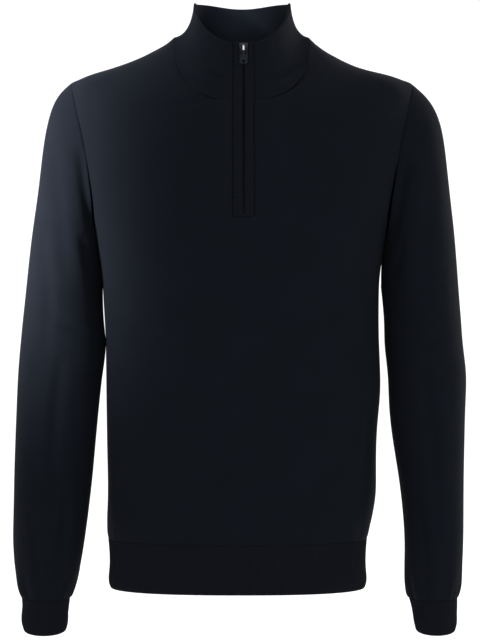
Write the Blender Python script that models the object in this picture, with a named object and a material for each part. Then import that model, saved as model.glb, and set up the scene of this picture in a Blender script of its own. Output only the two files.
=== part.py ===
"""A man's fine-knit quarter-zip sweater with a standing collar, in the hollow form that it has when worn.

The wearer faces -Y and +Z is up, so the wearer's right is at -X. The origin is between the shoulders, level
with the shoulder seams' inner ends, where the neck and shoulders carry the garment. Sizes and places below are
in millimetres, and the meshes are made in metres. Each piece of cloth is a net of points on its outer face,
a wall of the cloth's thickness behind it, and edges that stop short of the next piece at every seam.
"""

import bpy
import numpy as np
from mathutils import Matrix, Vector

METRE = 1000.0

# Cloth and seams
JERSEY = 2.0            # body and sleeves: one layer of fine jersey with its loft
RIB = 2.6               # hem and cuffs
COLLAR_CLOTH = 3.0      # two layers, folded at the rim
SEAM_GAP = 0.3          # left between two pieces that are sewn together
ARM_GAP = 0.45          # least room between a sleeve and the body beside it

# Body
SHOULDER_TIP = -47.0    # height of the armhole's top
UNDERARM = -250.0       # height of the armhole's foot
ARMHOLE_REACH = 57.0    # how far it reaches to the front and to the back
NECK_POINT = 9.0        # height where shoulder seam and neckline meet
HEM_SEAM = -600.0
SQUARENESS = 2.5        # power of the level sections: 2 is an ellipse, more is squarer
FRONT_NECK_DROP = 84.5
FRONT_NECK_POWER = 2.7
BACK_NECK_DROP = 21.0
BACK_NECK_POWER = 2.3

# Collar
RIM_HALF_WIDTH = 58.9
RIM_FRONT = 68.0
RIM_BACK = 58.0
RIM_HEIGHT = 51.0
RIM_DROP = 57.0         # how much lower the rim is at the zip than at the sides
RIM_DROP_POWER = 1.05
RIM_WAVE = 2.6          # how much higher it is between the sides and the middle of the back

# Zip
ZIP_X = 1.5             # the zip lies this far to the wearer's left of the middle
ZIP_FOOT = -214.0       # lower end of the opening
BAND_WIDTH = 12.5       # each facing band, from the zip's middle to its outer edge
BAND_CLOTH = 2.6
BAND_RISE = 0.7         # the bands stand this far proud of the panel
BAND_BOW = 0.8          # and this much fuller at the middle than at their outer edges
TEETH_GAP = 0.9         # half the slit between the bands
SLIDER_GAP = 5.2        # half the slit where it makes room for the slider
SLIDER_ROOM = 17.0      # length of that wider stretch, down from the rim
TAPE_HALF_WIDTH = 11.0
TAPE_CLOTH = 1.0
TAPE_OVERRUN = 4.0      # the tape runs this far below the opening

# Net sizes, in cells
SHOULDER_CELLS = 5
NECK_CELLS = 8          # half of the front neckline, or half of the back one
ARMHOLE_CELLS = 14      # half of an armhole
COLLAR_CELLS = 7
FINE = 400              # points on a curve before it is cut into cells
SMOOTHING = 160         # rounds that even out a panel's net
STEP = 0.05             # over which the body's slope is measured
DIAGONAL_ORDER = (0.31, 0.17, 0.93)  # the end walls' diagonals run from the point further this way
SEWING = 8              # rounds that turn the walls' ends to the same directions

WEARER_SIDE = {"right": -1, "left": 1}
FACE_SIDE = {"front": -1, "back": 1}


def smooth(keys, values, at):
    """Reads between the rows of a table along a curve that never overshoots them."""
    keys, values = np.asarray(keys, float), np.asarray(values, float)
    step = np.diff(keys)
    slope = np.diff(values) / step
    before, after = slope[:-1], slope[1:]
    turning = before * after <= 0
    total = np.where(turning, 1, before + after)
    tangent = np.concatenate([slope[:1], np.where(turning, 0, 2 * before * after / total), slope[-1:]])
    row = np.clip(np.searchsorted(keys, at, "right") - 1, 0, len(step) - 1)
    u = np.clip((at - keys[row]) / step[row], 0, 1)
    start = values[row] * (1 + 2 * u) * (1 - u) ** 2 + tangent[row] * step[row] * u * (1 - u) ** 2
    end = values[row + 1] * (3 - 2 * u) * u**2 - tangent[row + 1] * step[row] * (1 - u) * u**2
    return start + end


class Sections:
    """A short table with named columns, the first of them the height, lowest row first."""

    def __init__(self, columns, rows):
        self.columns = {name: values for name, values in zip(columns, zip(*rows))}

    def at(self, name, height):
        return smooth(self.columns["height"], self.columns[name], np.asarray(height, float))


# Half widths of the body from the hem seam up to the neck points. Between the underarm and the shoulder
# tips the sections run on round the arm, and the panels end at the armholes.
BODY = Sections(
    ("height", "right", "left"),
    (
        (-600, 162.7, 151.5),
        (-585, 163.9, 155.2),
        (-565, 163.8, 159.5),
        (-540, 163.3, 162.6),
        (-487, 164.3, 163.0),
        (-409, 165.4, 168.2),
        (-365, 165.8, 166.4),
        (-331, 167.6, 165.9),
        (-290, 169.8, 166.7),
        (-250, 176.0, 172.5),
        (-200, 188.5, 187.5),
        (-160, 198.5, 198.5),
        (-110, 208.5, 208.5),
        (-80, 213.0, 212.5),
        (-60, 212.0, 211.0),
        (-47, 208.0, 205.0),
        (-42, 196.0, 189.5),
        (-34, 173.0, 161.5),
        (-27, 152.5, 137.0),
        (-19, 131.0, 121.5),
        (-8, 108.5, 101.5),
        (2, 91.0, 88.0),
        (9, 83.0, 81.0),
    ),
)

# How far the body's level sections reach in front of the shoulder line and behind it
DEPTH = Sections(
    ("height", "front", "back"),
    (
        (-600, 103, 99),
        (-585, 107, 103),
        (-565, 109, 104),
        (-500, 107, 101),
        (-420, 105, 93),
        (-330, 110, 99),
        (-250, 116, 109),
        (-180, 116, 113),
        (-120, 107, 108),
        (-75, 88, 98),
        (-53, 70, 92),
        (-34, 54, 83),
        (-12, 38, 66),
        (9, 22, 40),
    ),
)

# The ribbed hem, as shares of the hem seam's half widths and depths
HEM = Sections(
    ("height", "across", "deep"),
    (
        (-660, 0.980, 0.967),
        (-656, 0.991, 0.986),
        (-630, 0.993, 0.990),
        (-610, 0.990, 0.985),
        (-600, 1.000, 1.000),
    ),
)

# The sleeves: outer and inner sides as distances from the middle of the body, and the middle and half
# depth of the section from front to back
SLEEVE_COLUMNS = ("height", "outer", "inner", "middle", "depth")
SLEEVES = {
    "right": Sections(
        SLEEVE_COLUMNS,
        (
            (-708, 263.1, 212.6, -27, 26.0),
            (-701, 265.6, 210.7, -27, 27.5),
            (-690, 266.2, 210.3, -26, 28.0),
            (-679, 265.4, 209.2, -25, 28.0),
            (-671, 266.1, 208.3, -25, 29.0),
            (-661, 270.3, 203.7, -24, 33.0),
            (-642, 274.0, 197.9, -22, 38.5),
            (-602, 277.1, 190.8, -20, 43.5),
            (-525, 276.4, 181.6, -14, 47.0),
            (-448, 274.3, 174.9, -8, 52.0),
            (-409, 272.9, 170.8, -5, 56.0),
            (-366, 269.8, 166.2, -3, 60.0),
            (-331, 266.4, 168.9, -2, 62.0),
            (-292, 262.3, 170.2, -1, 63.0),
            (-250, 258.0, 176.4, 0, 62.0),
            (-174, 247.7, 190.0, 0, 60.0),
            (-116, 240.6, 200.0, 0, 60.0),
            (-87, 234.4, 204.0, 0, 60.0),
            (-67, 226.6, 206.0, 0, 60.0),
            (-55, 217.0, 207.0, 0, 60.0),
            (-47, 208.0, 208.0, 0, 60.0),
        ),
    ),
    "left": Sections(
        SLEEVE_COLUMNS,
        (
            (-708, 256.7, 209.6, -27, 24.0),
            (-701, 258.7, 207.7, -27, 26.0),
            (-690, 259.1, 206.0, -26, 27.0),
            (-679, 259.5, 204.0, -25, 28.0),
            (-671, 259.5, 201.7, -25, 29.0),
            (-661, 262.5, 198.1, -24, 33.0),
            (-642, 265.4, 196.0, -22, 37.0),
            (-602, 267.4, 196.4, -20, 41.5),
            (-525, 268.6, 189.6, -14, 45.0),
            (-448, 270.8, 179.0, -8, 50.0),
            (-409, 272.4, 177.6, -5, 54.0),
            (-366, 268.6, 173.5, -3, 58.0),
            (-331, 265.9, 172.4, -2, 61.0),
            (-292, 262.9, 169.2, -1, 62.0),
            (-270, 261.4, 169.8, 0, 62.0),
            (-250, 260.0, 173.0, 0, 62.0),
            (-174, 251.8, 190.0, 0, 60.0),
            (-116, 244.9, 200.0, 0, 60.0),
            (-87, 237.8, 204.0, 0, 60.0),
            (-67, 226.4, 205.0, 0, 60.0),
            (-55, 214.5, 205.0, 0, 60.0),
            (-47, 205.0, 205.0, 0, 60.0),
        ),
    ),
}

# Rows of the nets
SIDE_SEAM_HEIGHTS = (-600, -588, -574, -556, -530, -500, -465, -425, -385, -345, -305, -275)
ZIP_LINE_HEIGHTS = (-262, -246, -230, ZIP_FOOT)  # level with the first rows above the underarm
HEM_HEIGHTS = (-660, -656, -638, -618, -600)
HEAD_HEIGHTS = (-47, -52, -61, -74, -94, -119, -150, -186, -228, -300)  # outer side of the sleeve head
HEAD_FEET = (-250, -253, -257, -261, -266, -271, -277, -284, -292, -300)  # inner side of the same rings
ARM_HEIGHTS = (-333, -366, -400, -438, -480, -524, -566, -604, -630, -646, -657, -665, -671)
CUFF_HEIGHTS = (-671, -679, -690, -701, -708)

# Folds of the cloth: waves round the end of a sleeve where the cuff gathers it, and their depth
GATHERS = 9
GATHER_DEPTH = 1.0
GATHER_REACH = 42.0     # up the sleeve from the cuff
CUFF_DROP = 6.0         # the cuff's front edge hangs this much lower than its middle

KNIT_NAVY = (0.0090, 0.0115, 0.0165)
RIB_NAVY = (0.0085, 0.0110, 0.0160)
TAPE_NAVY = (0.0060, 0.0075, 0.0110)
GUNMETAL = (0.30, 0.31, 0.33)


def unit(vectors):
    return vectors / np.linalg.norm(vectors, axis=-1, keepdims=True)


def place(x, y, z):
    return np.stack(np.broadcast_arrays(x, y, z), -1).astype(float)


def evenly(curve, cells):
    """The curve cut into lengths of equal size."""
    length = np.concatenate([[0], np.cumsum(np.linalg.norm(np.diff(curve, axis=0), axis=1))])
    at = np.linspace(0, length[-1], cells + 1)
    return np.stack([np.interp(at, length, curve[:, axis]) for axis in range(3)], -1)


# ---- The body's outer surface

def half_width(x, z):
    """The body's half width on x's side at height z."""
    return np.where(np.asarray(x) < 0, BODY.at("right", z), BODY.at("left", z))


def on_face(face, x, z):
    """The point of the front or back that has this x and z."""
    share = np.clip(np.abs(x) / half_width(x, z), 0, 1)
    reach = DEPTH.at(face, z) * (1 - share**SQUARENESS) ** (1 / SQUARENESS)
    return place(x, FACE_SIDE[face] * reach, z)


def body_radius(points):
    """1 on the body's surface, less inside it and more outside it."""
    x, y, z = np.moveaxis(points, -1, 0)
    across = np.abs(x) / half_width(x, z)
    deep = np.abs(y) / np.where(y < 0, DEPTH.at("front", z), DEPTH.at("back", z))
    return (across**SQUARENESS + deep**SQUARENESS) ** (1 / SQUARENESS)


def moved_level(points, share):
    return points * np.stack([share, share, np.ones_like(share)], -1)


def on_body(points):
    """The points moved the short way onto the body's surface."""
    for _ in range(2):
        here = body_radius(points)
        slope = np.stack([(body_radius(points + step) - here) / STEP for step in STEP * np.eye(3)], -1)
        points = points + ((1 - here) / (slope**2).sum(-1))[..., None] * slope
    return points


def clear_of_body(points, gap):
    """The points, those nearer to the body than the gap moved level away from it."""
    from_axis = np.linalg.norm(points[..., :2], axis=-1)
    least = 1 + gap / from_axis
    return moved_level(points, np.maximum(1, least / body_radius(points)))


# ---- Edges that two pieces share

def armhole(side, face):
    """Half of an armhole, from the shoulder tip down one face to the underarm."""
    turn = np.linspace(0, np.pi, FINE)
    z = (SHOULDER_TIP + UNDERARM) / 2 + (SHOULDER_TIP - UNDERARM) / 2 * np.cos(turn)
    reach = ARMHOLE_REACH * np.sin(turn)
    share = (1 - (reach / DEPTH.at(face, z)) ** SQUARENESS) ** (1 / SQUARENESS)
    return evenly(place(WEARER_SIDE[side] * BODY.at(side, z) * share, FACE_SIDE[face] * reach, z), ARMHOLE_CELLS)


def shoulder_seam(side):
    """From the tip up to the neck point."""
    height = np.linspace(SHOULDER_TIP, NECK_POINT, FINE)
    x = WEARER_SIDE[side] * BODY.at(side, height)
    return evenly(place(x, 0, height), SHOULDER_CELLS)


def neckline(side, face, end_x=0.0):
    """From the neck point down one face, to the middle or to end_x."""
    drop = FRONT_NECK_DROP if face == "front" else BACK_NECK_DROP
    power = FRONT_NECK_POWER if face == "front" else BACK_NECK_POWER
    width = BODY.at(side, NECK_POINT)
    stop = np.arccos((abs(end_x) / width) ** (power / 2))
    turn = np.linspace(0, stop, FINE)
    x = WEARER_SIDE[side] * width * np.cos(turn) ** (2 / power)
    z = NECK_POINT - drop * np.sin(turn) ** (2 / power)
    return evenly(on_face(face, x, z), NECK_CELLS)


def side_edge(side, face):
    """The side seam and then the armhole, from the hem to the shoulder tip."""
    heights = np.array(SIDE_SEAM_HEIGHTS, float)
    seam = place(WEARER_SIDE[side] * BODY.at(side, heights), 0, heights)
    return np.concatenate([seam, armhole(side, face)[::-1]])


def hem_seam(face, from_x, to_x, cells):
    turn = np.linspace(np.arccos(from_x / half_width(from_x, HEM_SEAM)),
                       np.arccos(to_x / half_width(to_x, HEM_SEAM)), FINE)
    x = np.cos(turn) * half_width(np.cos(turn), HEM_SEAM)
    return evenly(on_face(face, x, HEM_SEAM), cells)


# ---- Nets of points for the cloth

def net_between(bottom, top, start, end):
    """Points between four edges. Rows run up from the bottom edge and columns from start to end."""
    v = np.linspace(0, 1, len(start))[:, None, None]
    u = np.linspace(0, 1, len(bottom))[None, :, None]
    ruled = (1 - v) * bottom + v * top + (1 - u) * start[:, None] + u * end[:, None]
    corners = (1 - v) * ((1 - u) * bottom[0] + u * bottom[-1]) + v * ((1 - u) * top[0] + u * top[-1])
    return ruled - corners


def evened(net):
    """The net drawn even on the body's surface, its four edges held."""
    net = net.copy()
    for _ in range(SMOOTHING):
        around = net[:-2, 1:-1] + net[2:, 1:-1] + net[1:-1, :-2] + net[1:-1, 2:]
        net[1:-1, 1:-1] = on_body(around / 4)
    return net


def zip_line(x):
    """The line up the front at this x, from the hem seam to the neckline."""
    side = "right" if x < ZIP_X else "left"
    below = np.array(SIDE_SEAM_HEIGHTS, float)
    top = neckline(side, "front", x)[-1, 2]
    above = np.linspace(ZIP_FOOT, top, ARMHOLE_CELLS - len(ZIP_LINE_HEIGHTS) + 2)[1:]
    return on_face("front", x, np.concatenate([below, ZIP_LINE_HEIGHTS, above]))


def front_net():
    """Columns run from the wearer's right side to the left, with two cells below the zip in the middle."""
    slot = BAND_WIDTH + SEAM_GAP
    right_x, left_x = ZIP_X - slot, ZIP_X + slot
    cells = SHOULDER_CELLS + NECK_CELLS
    tip_right, tip_left = -half_width(-1, HEM_SEAM), half_width(1, HEM_SEAM)
    right = net_between(
        hem_seam("front", tip_right, right_x, cells),
        np.concatenate([shoulder_seam("right"), neckline("right", "front", right_x)[1:]]),
        side_edge("right", "front"),
        zip_line(right_x),
    )
    left = net_between(
        hem_seam("front", left_x, tip_left, cells),
        np.concatenate([shoulder_seam("left"), neckline("left", "front", left_x)[1:]])[::-1],
        zip_line(left_x),
        side_edge("left", "front"),
    )
    middle = zip_line(ZIP_X)[:, None]
    return np.concatenate([evened(right), middle, evened(left)], axis=1)


def back_net():
    """Columns run from the wearer's left side to the right."""
    cells = 2 * (SHOULDER_CELLS + NECK_CELLS)
    left_half = np.concatenate([shoulder_seam("left"), neckline("left", "back")[1:]])
    right_half = np.concatenate([shoulder_seam("right"), neckline("right", "back")[1:]])
    return evened(net_between(
        hem_seam("back", half_width(1, HEM_SEAM), -half_width(-1, HEM_SEAM), cells),
        np.concatenate([left_half, right_half[-2::-1]]),
        side_edge("left", "back"),
        side_edge("right", "back"),
    ))


def hem_net(panel):
    """The ribbed hem below a panel, rows from its edge up to the seam."""
    heights = np.array(HEM_HEIGHTS, float)[:, None]
    seam = panel[0][None]
    return place(
        seam[..., 0] * HEM.at("across", heights), seam[..., 1] * HEM.at("deep", heights), heights
    )


def rim(turn):
    """The collar's folded top edge. The turn runs from the wearer's left over the back."""
    y = np.where(np.sin(turn) < 0, RIM_FRONT, RIM_BACK) * np.sin(turn)
    forward = np.clip(-y / RIM_FRONT, 0, 1)
    wave = RIM_WAVE * np.abs(np.sin(2 * turn)) * (np.sin(turn) > 0)
    return place(RIM_HALF_WIDTH * np.cos(turn), y, RIM_HEIGHT + wave - RIM_DROP * forward**RIM_DROP_POWER)


def collar_net(front, back):
    """Columns run from the zip round the wearer's left, the back and the right to the zip again."""
    half = SHOULDER_CELLS + NECK_CELLS
    seam = np.concatenate([
        front[-1, half + 2 : half + 3 + NECK_CELLS],
        back[-1, SHOULDER_CELLS + 1 : -SHOULDER_CELLS - 1],
        front[-1, SHOULDER_CELLS : half + 1],
    ])
    slot = BAND_WIDTH + SEAM_GAP
    start = -np.arccos((ZIP_X + slot) / RIM_HALF_WIDTH)
    end = np.pi + np.arccos((slot - ZIP_X) / RIM_HALF_WIDTH)
    turn = np.concatenate([
        np.linspace(start, 0, NECK_CELLS + 1),
        np.linspace(0, np.pi, 2 * NECK_CELLS + 1)[1:-1],
        np.linspace(np.pi, end, NECK_CELLS + 1),
    ])
    top = rim(turn)
    # The collar leaves the shoulders almost flat and turns upright; at the zip it stands nearly straight.
    flare = np.abs(np.cos(turn)) ** 1.5
    knee_level = 0.5 - 0.42 * flare
    knee_out = 0.5 - 0.36 * flare
    knee = place(
        top[:, 0] + (seam[:, 0] - top[:, 0]) * knee_out,
        top[:, 1] + (seam[:, 1] - top[:, 1]) * knee_out,
        seam[:, 2] + (top[:, 2] - seam[:, 2]) * knee_level,
    )
    v = np.linspace(0, 1, COLLAR_CELLS + 1)[:, None, None]
    return (1 - v) ** 2 * seam + 2 * v * (1 - v) * knee + v**2 * top


def sleeve_ring(side, outer_height, inner_height, turn):
    """A ring of the sleeve, tilted when its outer and inner sides are at different heights."""
    table = SLEEVES[side]
    sign = WEARER_SIDE[side]
    outer = np.array([sign * table.at("outer", outer_height), 0, outer_height])
    inner = np.array([sign * table.at("inner", inner_height), 0, inner_height])
    share = (1 + np.cos(turn)) / 2
    ring = inner + share[:, None] * (outer - inner)
    middle = table.at("middle", ring[:, 2])
    return ring + place(0, middle - table.at("depth", inner_height) * np.sin(turn), 0)


def sleeve_net(side):
    """Rings from the armhole down to the cuff's seam. Columns run from the sleeve's top over its front,
    the underarm and its back."""
    turn = np.linspace(0, 2 * np.pi, 2 * ARMHOLE_CELLS, endpoint=False)
    loop = np.concatenate([armhole(side, "front"), armhole(side, "back")[-2:0:-1]])
    base = sleeve_ring(side, HEAD_HEIGHTS[0], HEAD_FEET[0], turn)
    base[0], base[ARMHOLE_CELLS] = loop[0], loop[ARMHOLE_CELLS]
    rings = []
    fade = np.linspace(1, 0, len(HEAD_HEIGHTS)) ** 1.4
    for share, outer_height, inner_height in zip(fade, HEAD_HEIGHTS, HEAD_FEET):
        rings.append(sleeve_ring(side, outer_height, inner_height, turn) + share * (loop - base))
    for height in ARM_HEIGHTS:
        rings.append(sleeve_ring(side, height, height, turn))
    net = np.stack(rings)
    net = clear_of_body(net, ARM_GAP)
    seam = net[-1, :, 2].mean()
    rise = np.clip((net[..., 2] - seam) / GATHER_REACH, 0, 1)
    depth = GATHER_DEPTH * np.sin(np.pi * rise**0.6) * (1 + 0.4 * np.sin(2 * turn + 1))
    middle = net.mean(axis=1, keepdims=True)
    out = unit((net - middle) * (1, 1, 0))
    return net + out * (depth * np.sin(GATHERS * turn))[..., None]


def cuff_net(side):
    """Rings from the cuff's seam down to its edge, the front of the edge hanging lower."""
    turn = np.linspace(0, 2 * np.pi, 2 * ARMHOLE_CELLS, endpoint=False)
    rings = np.stack([sleeve_ring(side, height, height, turn) for height in CUFF_HEIGHTS])
    share = np.linspace(0, 1, len(CUFF_HEIGHTS))[:, None]
    forward = np.sin(turn)
    rings[..., 2] -= share * CUFF_DROP * np.sign(forward) * np.abs(forward) ** 0.7
    return rings


def zip_edge(front, collar):
    """The line of the opening's edges, from its foot to the rim, at the middle of the zip."""
    column = SHOULDER_CELLS + NECK_CELLS
    foot = len(SIDE_SEAM_HEIGHTS) + len(ZIP_LINE_HEIGHTS) - 1
    right = np.concatenate([front[foot:, column], collar[1:, -1]])
    left = np.concatenate([front[foot:, column + 2], collar[1:, 0]])
    line = (right + left) / 2
    line[:, 0] = ZIP_X
    return line


def strip_net(line, start, end, cells, fullness=BAND_BOW):
    """A strip along the zip between two distances from its middle, the same for all rows or one for each."""
    share = np.linspace(0, 1, cells + 1)
    across = np.reshape(start, (-1, 1)) * (1 - share) + np.reshape(end, (-1, 1)) * share
    across = np.broadcast_to(across, (len(line), cells + 1))
    bow = fullness * (1 - (across / BAND_WIDTH) ** 2)
    return line[:, None] + place(across, -bow, 0)


def band_net(side, line):
    """A facing band beside the zip, its inner edge parting for the slider near the rim."""
    below_rim = line[-1, 2] - line[:, 2]
    part = np.clip(1 - (below_rim - SLIDER_ROOM) / SLIDER_ROOM, 0, 1)
    inner = TEETH_GAP + (SLIDER_GAP - TEETH_GAP) * part**2 * (3 - 2 * part)
    if side == "right":
        return strip_net(line, -BAND_WIDTH, -inner, 2)
    return strip_net(line, inner, BAND_WIDTH, 2)


# ---- Walls

def facing(net, closed=False):
    """The direction that each point of the net faces."""
    if closed:
        across = np.roll(net, -1, axis=1) - np.roll(net, 1, axis=1)
    else:
        across = np.gradient(net, axis=1)
    return unit(np.cross(across, np.gradient(net, axis=0)))


def sew(out, one, other):
    """Turns two walls' ends at a seam to the same directions, unless the seam is folded sharply."""
    (name, at), (other_name, other_at) = one, other
    here, there = out[name][at], out[other_name][other_at]
    alike = np.clip((here * there).sum(-1, keepdims=True) / 0.2, 0, 1)
    out[name][at] = unit(here + alike * there)
    out[other_name][other_at] = unit(there + alike * here)


def drawn_in(net, edges, closed=False):
    """The net with these edges moved half a seam gap into the piece."""
    moved = net.copy()
    lines = {"bottom": (0, 1), "top": (-1, -2), "start": (0, 1), "end": (-1, -2)}
    for edge in edges:
        at, beside = lines[edge]
        rows = edge in ("bottom", "top")
        line, neighbour = (net[at], net[beside]) if rows else (net[:, at], net[:, beside])
        if closed:
            along = unit(np.roll(line, -1, axis=0) - np.roll(line, 1, axis=0))
        else:
            along = unit(np.gradient(line, axis=0))
        inward = neighbour - line
        inward -= (inward * along).sum(-1, keepdims=True) * along
        target = moved[at] if rows else moved[:, at]
        target += unit(inward) * SEAM_GAP / 2
    return moved


def edge_quads(quads):
    """The edges that only one quad has, in that quad's direction."""
    directed = {(quad[i], quad[(i + 1) % 4]) for quad in quads for i in range(4)}
    return [edge for edge in sorted(directed) if edge[::-1] not in directed]


def wall(name, net, directions, thickness, material, closed=False, left_out=()):
    """A closed solid of cloth behind a net of points. Cells (row, column) in left_out are open."""
    rows, columns = net.shape[:2]
    number = np.arange(rows * columns).reshape(rows, columns)
    quads = []
    for row in range(rows - 1):
        for column in range(columns if closed else columns - 1):
            if (row, column) not in left_out:
                beside = (column + 1) % columns
                quads.append((number[row, column], number[row, beside],
                              number[row + 1, beside], number[row + 1, column]))
    used = sorted({corner for quad in quads for corner in quad})
    new = {old: place_in_list for place_in_list, old in enumerate(used)}
    quads = [tuple(new[corner] for corner in quad) for quad in quads]
    outer = net.reshape(-1, 3)[used]
    inner = outer - directions.reshape(-1, 3)[used] * thickness
    count = len(used)
    faces = list(quads)
    faces += [tuple(corner + count for corner in quad[::-1]) for quad in quads]
    for a, b in edge_quads(quads):
        # Both pieces at a seam split their end walls along the same diagonal, so that these can't cross.
        if outer[a] @ DIAGONAL_ORDER < outer[b] @ DIAGONAL_ORDER:
            faces += [(b, a, b + count), (a, a + count, b + count)]
        else:
            faces += [(b, a, a + count), (b, a + count, b + count)]
    return add_object(name, np.concatenate([outer, inner]), faces, material)


def add_object(name, points, faces, material):
    mesh = bpy.data.meshes.new(name)
    mesh.from_pydata((points / METRE).tolist(), [], [[int(corner) for corner in face] for face in faces])
    mesh.validate()
    mesh.shade_smooth()
    mesh.set_sharp_from_angle(angle=np.radians(40))
    obj = bpy.data.objects.new(name, mesh)
    obj.data.materials.append(material)
    bpy.context.scene.collection.objects.link(obj)
    return obj


def add_material(name, colour, roughness, metallic=0.0):
    material = bpy.data.materials.new(name)
    material.use_nodes = True
    shader = material.node_tree.nodes["Principled BSDF"]
    shader.inputs["Base Color"].default_value = (*colour, 1)
    shader.inputs["Roughness"].default_value = roughness
    shader.inputs["Metallic"].default_value = metallic
    return material


# ---- The zip's slider and pull tab

SLIDER_BELOW_RIM = 9.0      # from the rim down to the tab's pivot
SLIDER_BACK = 2.8           # depth of the slider's back, behind the cloth's outer face
SLIDER_FRONT = 2.0          # height of its front plate above that face
SLIDER_TOP = 5.0            # from the pivot up to its top
SLIDER_FOOT = -6.0
SLIDER_HALF_WIDTH = 4.3
SLIDER_NECK = 2.8           # half width at its foot
CROWN_HALF_WIDTH = 1.0      # the bridge that holds the tab
CROWN_HEIGHT = 5.3          # its top above the cloth
CROWN_REACH = 3.4           # up and down from the pivot
CROWN_WALL = 0.9
TAB_CLOTH = 1.2             # thickness of the tab's metal
TAB_AXIS = 3.2              # the pivot's height above the cloth
TAB_EYE_HALF = 1.6          # half width of the eye round the crown
TAB_EYE_LENGTH = 4.6
TAB_SHOULDER = 3.0          # half width round the eye
TAB_STEM = 1.5              # half width of the stem
TAB_STEM_END = 10.5         # distances down from the pivot
TAB_LENGTH = 20.5
TAB_FOOT = 4.7              # half width of the foot
TAB_HOLE = 1.8              # radius
TAB_HOLE_AT = 17.4
TAB_LEAN = 3.0              # degrees that the tab's foot leans in, towards the bands


def zip_axes(line):
    """A frame on the zip: X across, Y up along it, Z out of the cloth, at the tab's pivot."""
    length = np.concatenate([[0], np.cumsum(np.linalg.norm(np.diff(line[::-1], axis=0), axis=1))])
    at = [np.interp(SLIDER_BELOW_RIM, length, line[::-1, axis]) for axis in range(3)]
    up = Vector(unit(line[-1] - line[-4]))
    across = Vector((1, 0, 0))
    out = across.cross(up)
    surface = Vector(at) - Vector((0, BAND_BOW, 0))
    pivot = (surface + out * TAB_AXIS) / METRE
    turn = Matrix((across, up, out)).transposed()
    return Matrix.LocRotScale(pivot, turn.to_quaternion(), None)


def plate(name, outline, low, high, matrix, material):
    """A flat piece: an outline in the zip's frame, from one height to another above the pivot."""
    count = len(outline)
    points = [(x, y, z) for z in (low, high) for x, y in outline]
    faces = [tuple(range(count))[::-1], tuple(range(count, 2 * count))]
    faces += [(i, (i + 1) % count, (i + 1) % count + count, i + count) for i in range(count)]
    obj = add_object(name, np.array(points, float), faces, material)
    obj.matrix_world = matrix
    return obj


def joined(obj, other, operation):
    """Joins another solid to this one, or cuts it out, and leaves the other as a hidden guide."""
    change = obj.modifiers.new(other.name, "BOOLEAN")
    change.operation = operation
    change.solver = "EXACT"
    change.object = other
    other.hide_render = True
    other.display_type = "WIRE"


def mirrored(half):
    """An outline from its right half, given top to bottom."""
    return [(-x, y) for x, y in half] + [(x, y) for x, y in reversed(half)]


def box_outline(half, low, high):
    return [(-half, high), (-half, low), (half, low), (half, high)]


def add_slider(matrix, material):
    shield = mirrored([
        (SLIDER_HALF_WIDTH * 0.72, SLIDER_TOP),
        (SLIDER_HALF_WIDTH, SLIDER_TOP - 1.6),
        (SLIDER_HALF_WIDTH, 0.5),
        (SLIDER_NECK, SLIDER_FOOT + 0.8),
        (SLIDER_NECK * 0.7, SLIDER_FOOT),
    ])
    front = SLIDER_FRONT - TAB_AXIS
    slider = plate("zip_slider", shield, -SLIDER_BACK - TAB_AXIS, front, matrix, material)
    crown = plate("crown", box_outline(CROWN_HALF_WIDTH, -CROWN_REACH, CROWN_REACH),
                  front - 0.4, CROWN_HEIGHT - TAB_AXIS, matrix, material)
    hollow = plate("crown_hollow", box_outline(CROWN_HALF_WIDTH + 1, CROWN_WALL - CROWN_REACH,
                                               CROWN_REACH - CROWN_WALL),
                   front, CROWN_HEIGHT - CROWN_WALL - TAB_AXIS, matrix, material)
    joined(slider, crown, "UNION")
    joined(slider, hollow, "DIFFERENCE")
    return slider


def add_pull_tab(matrix, material):
    bar = TAB_CLOTH / 2
    outline = mirrored([
        (TAB_SHOULDER - 0.5, bar),
        (TAB_SHOULDER, bar - 0.5),
        (TAB_SHOULDER, -TAB_EYE_LENGTH),
        (TAB_STEM, -TAB_EYE_LENGTH - 1.4),
        (TAB_STEM, -TAB_STEM_END),
        (TAB_FOOT - 0.6, -TAB_STEM_END - 4.0),
        (TAB_FOOT, -TAB_STEM_END - 6.0),
        (TAB_FOOT, -TAB_LENGTH + 1.2),
        (TAB_FOOT - 1.2, -TAB_LENGTH),
    ])
    lean = Matrix.Rotation(np.radians(-TAB_LEAN), 4, "X")
    tab = plate("pull_tab", outline, -bar, bar, matrix @ lean, material)
    eye = plate("pull_tab_eye", box_outline(TAB_EYE_HALF, -TAB_EYE_LENGTH, -bar), -2 * bar, 2 * bar,
                matrix @ lean, material)
    angles = np.linspace(0, 2 * np.pi, 16, endpoint=False)
    ring = [(TAB_HOLE * np.cos(a), TAB_HOLE * np.sin(a) - TAB_HOLE_AT) for a in angles]
    hole = plate("pull_tab_hole", ring, -2 * bar, 2 * bar, matrix @ lean, material)
    joined(tab, eye, "DIFFERENCE")
    joined(tab, hole, "DIFFERENCE")
    return tab


# ---- The sweater

def clear_scene():
    for obj in list(bpy.data.objects):
        bpy.data.objects.remove(obj)


def cloth_nets():
    front, back = front_net(), back_net()
    nets = {
        "front_panel": front,
        "back_panel": back,
        "hem_rib_front": hem_net(front),
        "hem_rib_back": hem_net(back),
        "collar": collar_net(front, back),
    }
    for side in WEARER_SIDE:
        # Rows run up, and columns so that the net faces out: forward from the top on the right sleeve.
        for name, net in (("sleeve", sleeve_net(side)[::-1]), ("cuff", cuff_net(side)[::-1])):
            nets[f"{name}_{side}"] = net if side == "right" else np.roll(net[:, ::-1], 1, axis=1)
    return nets


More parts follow.
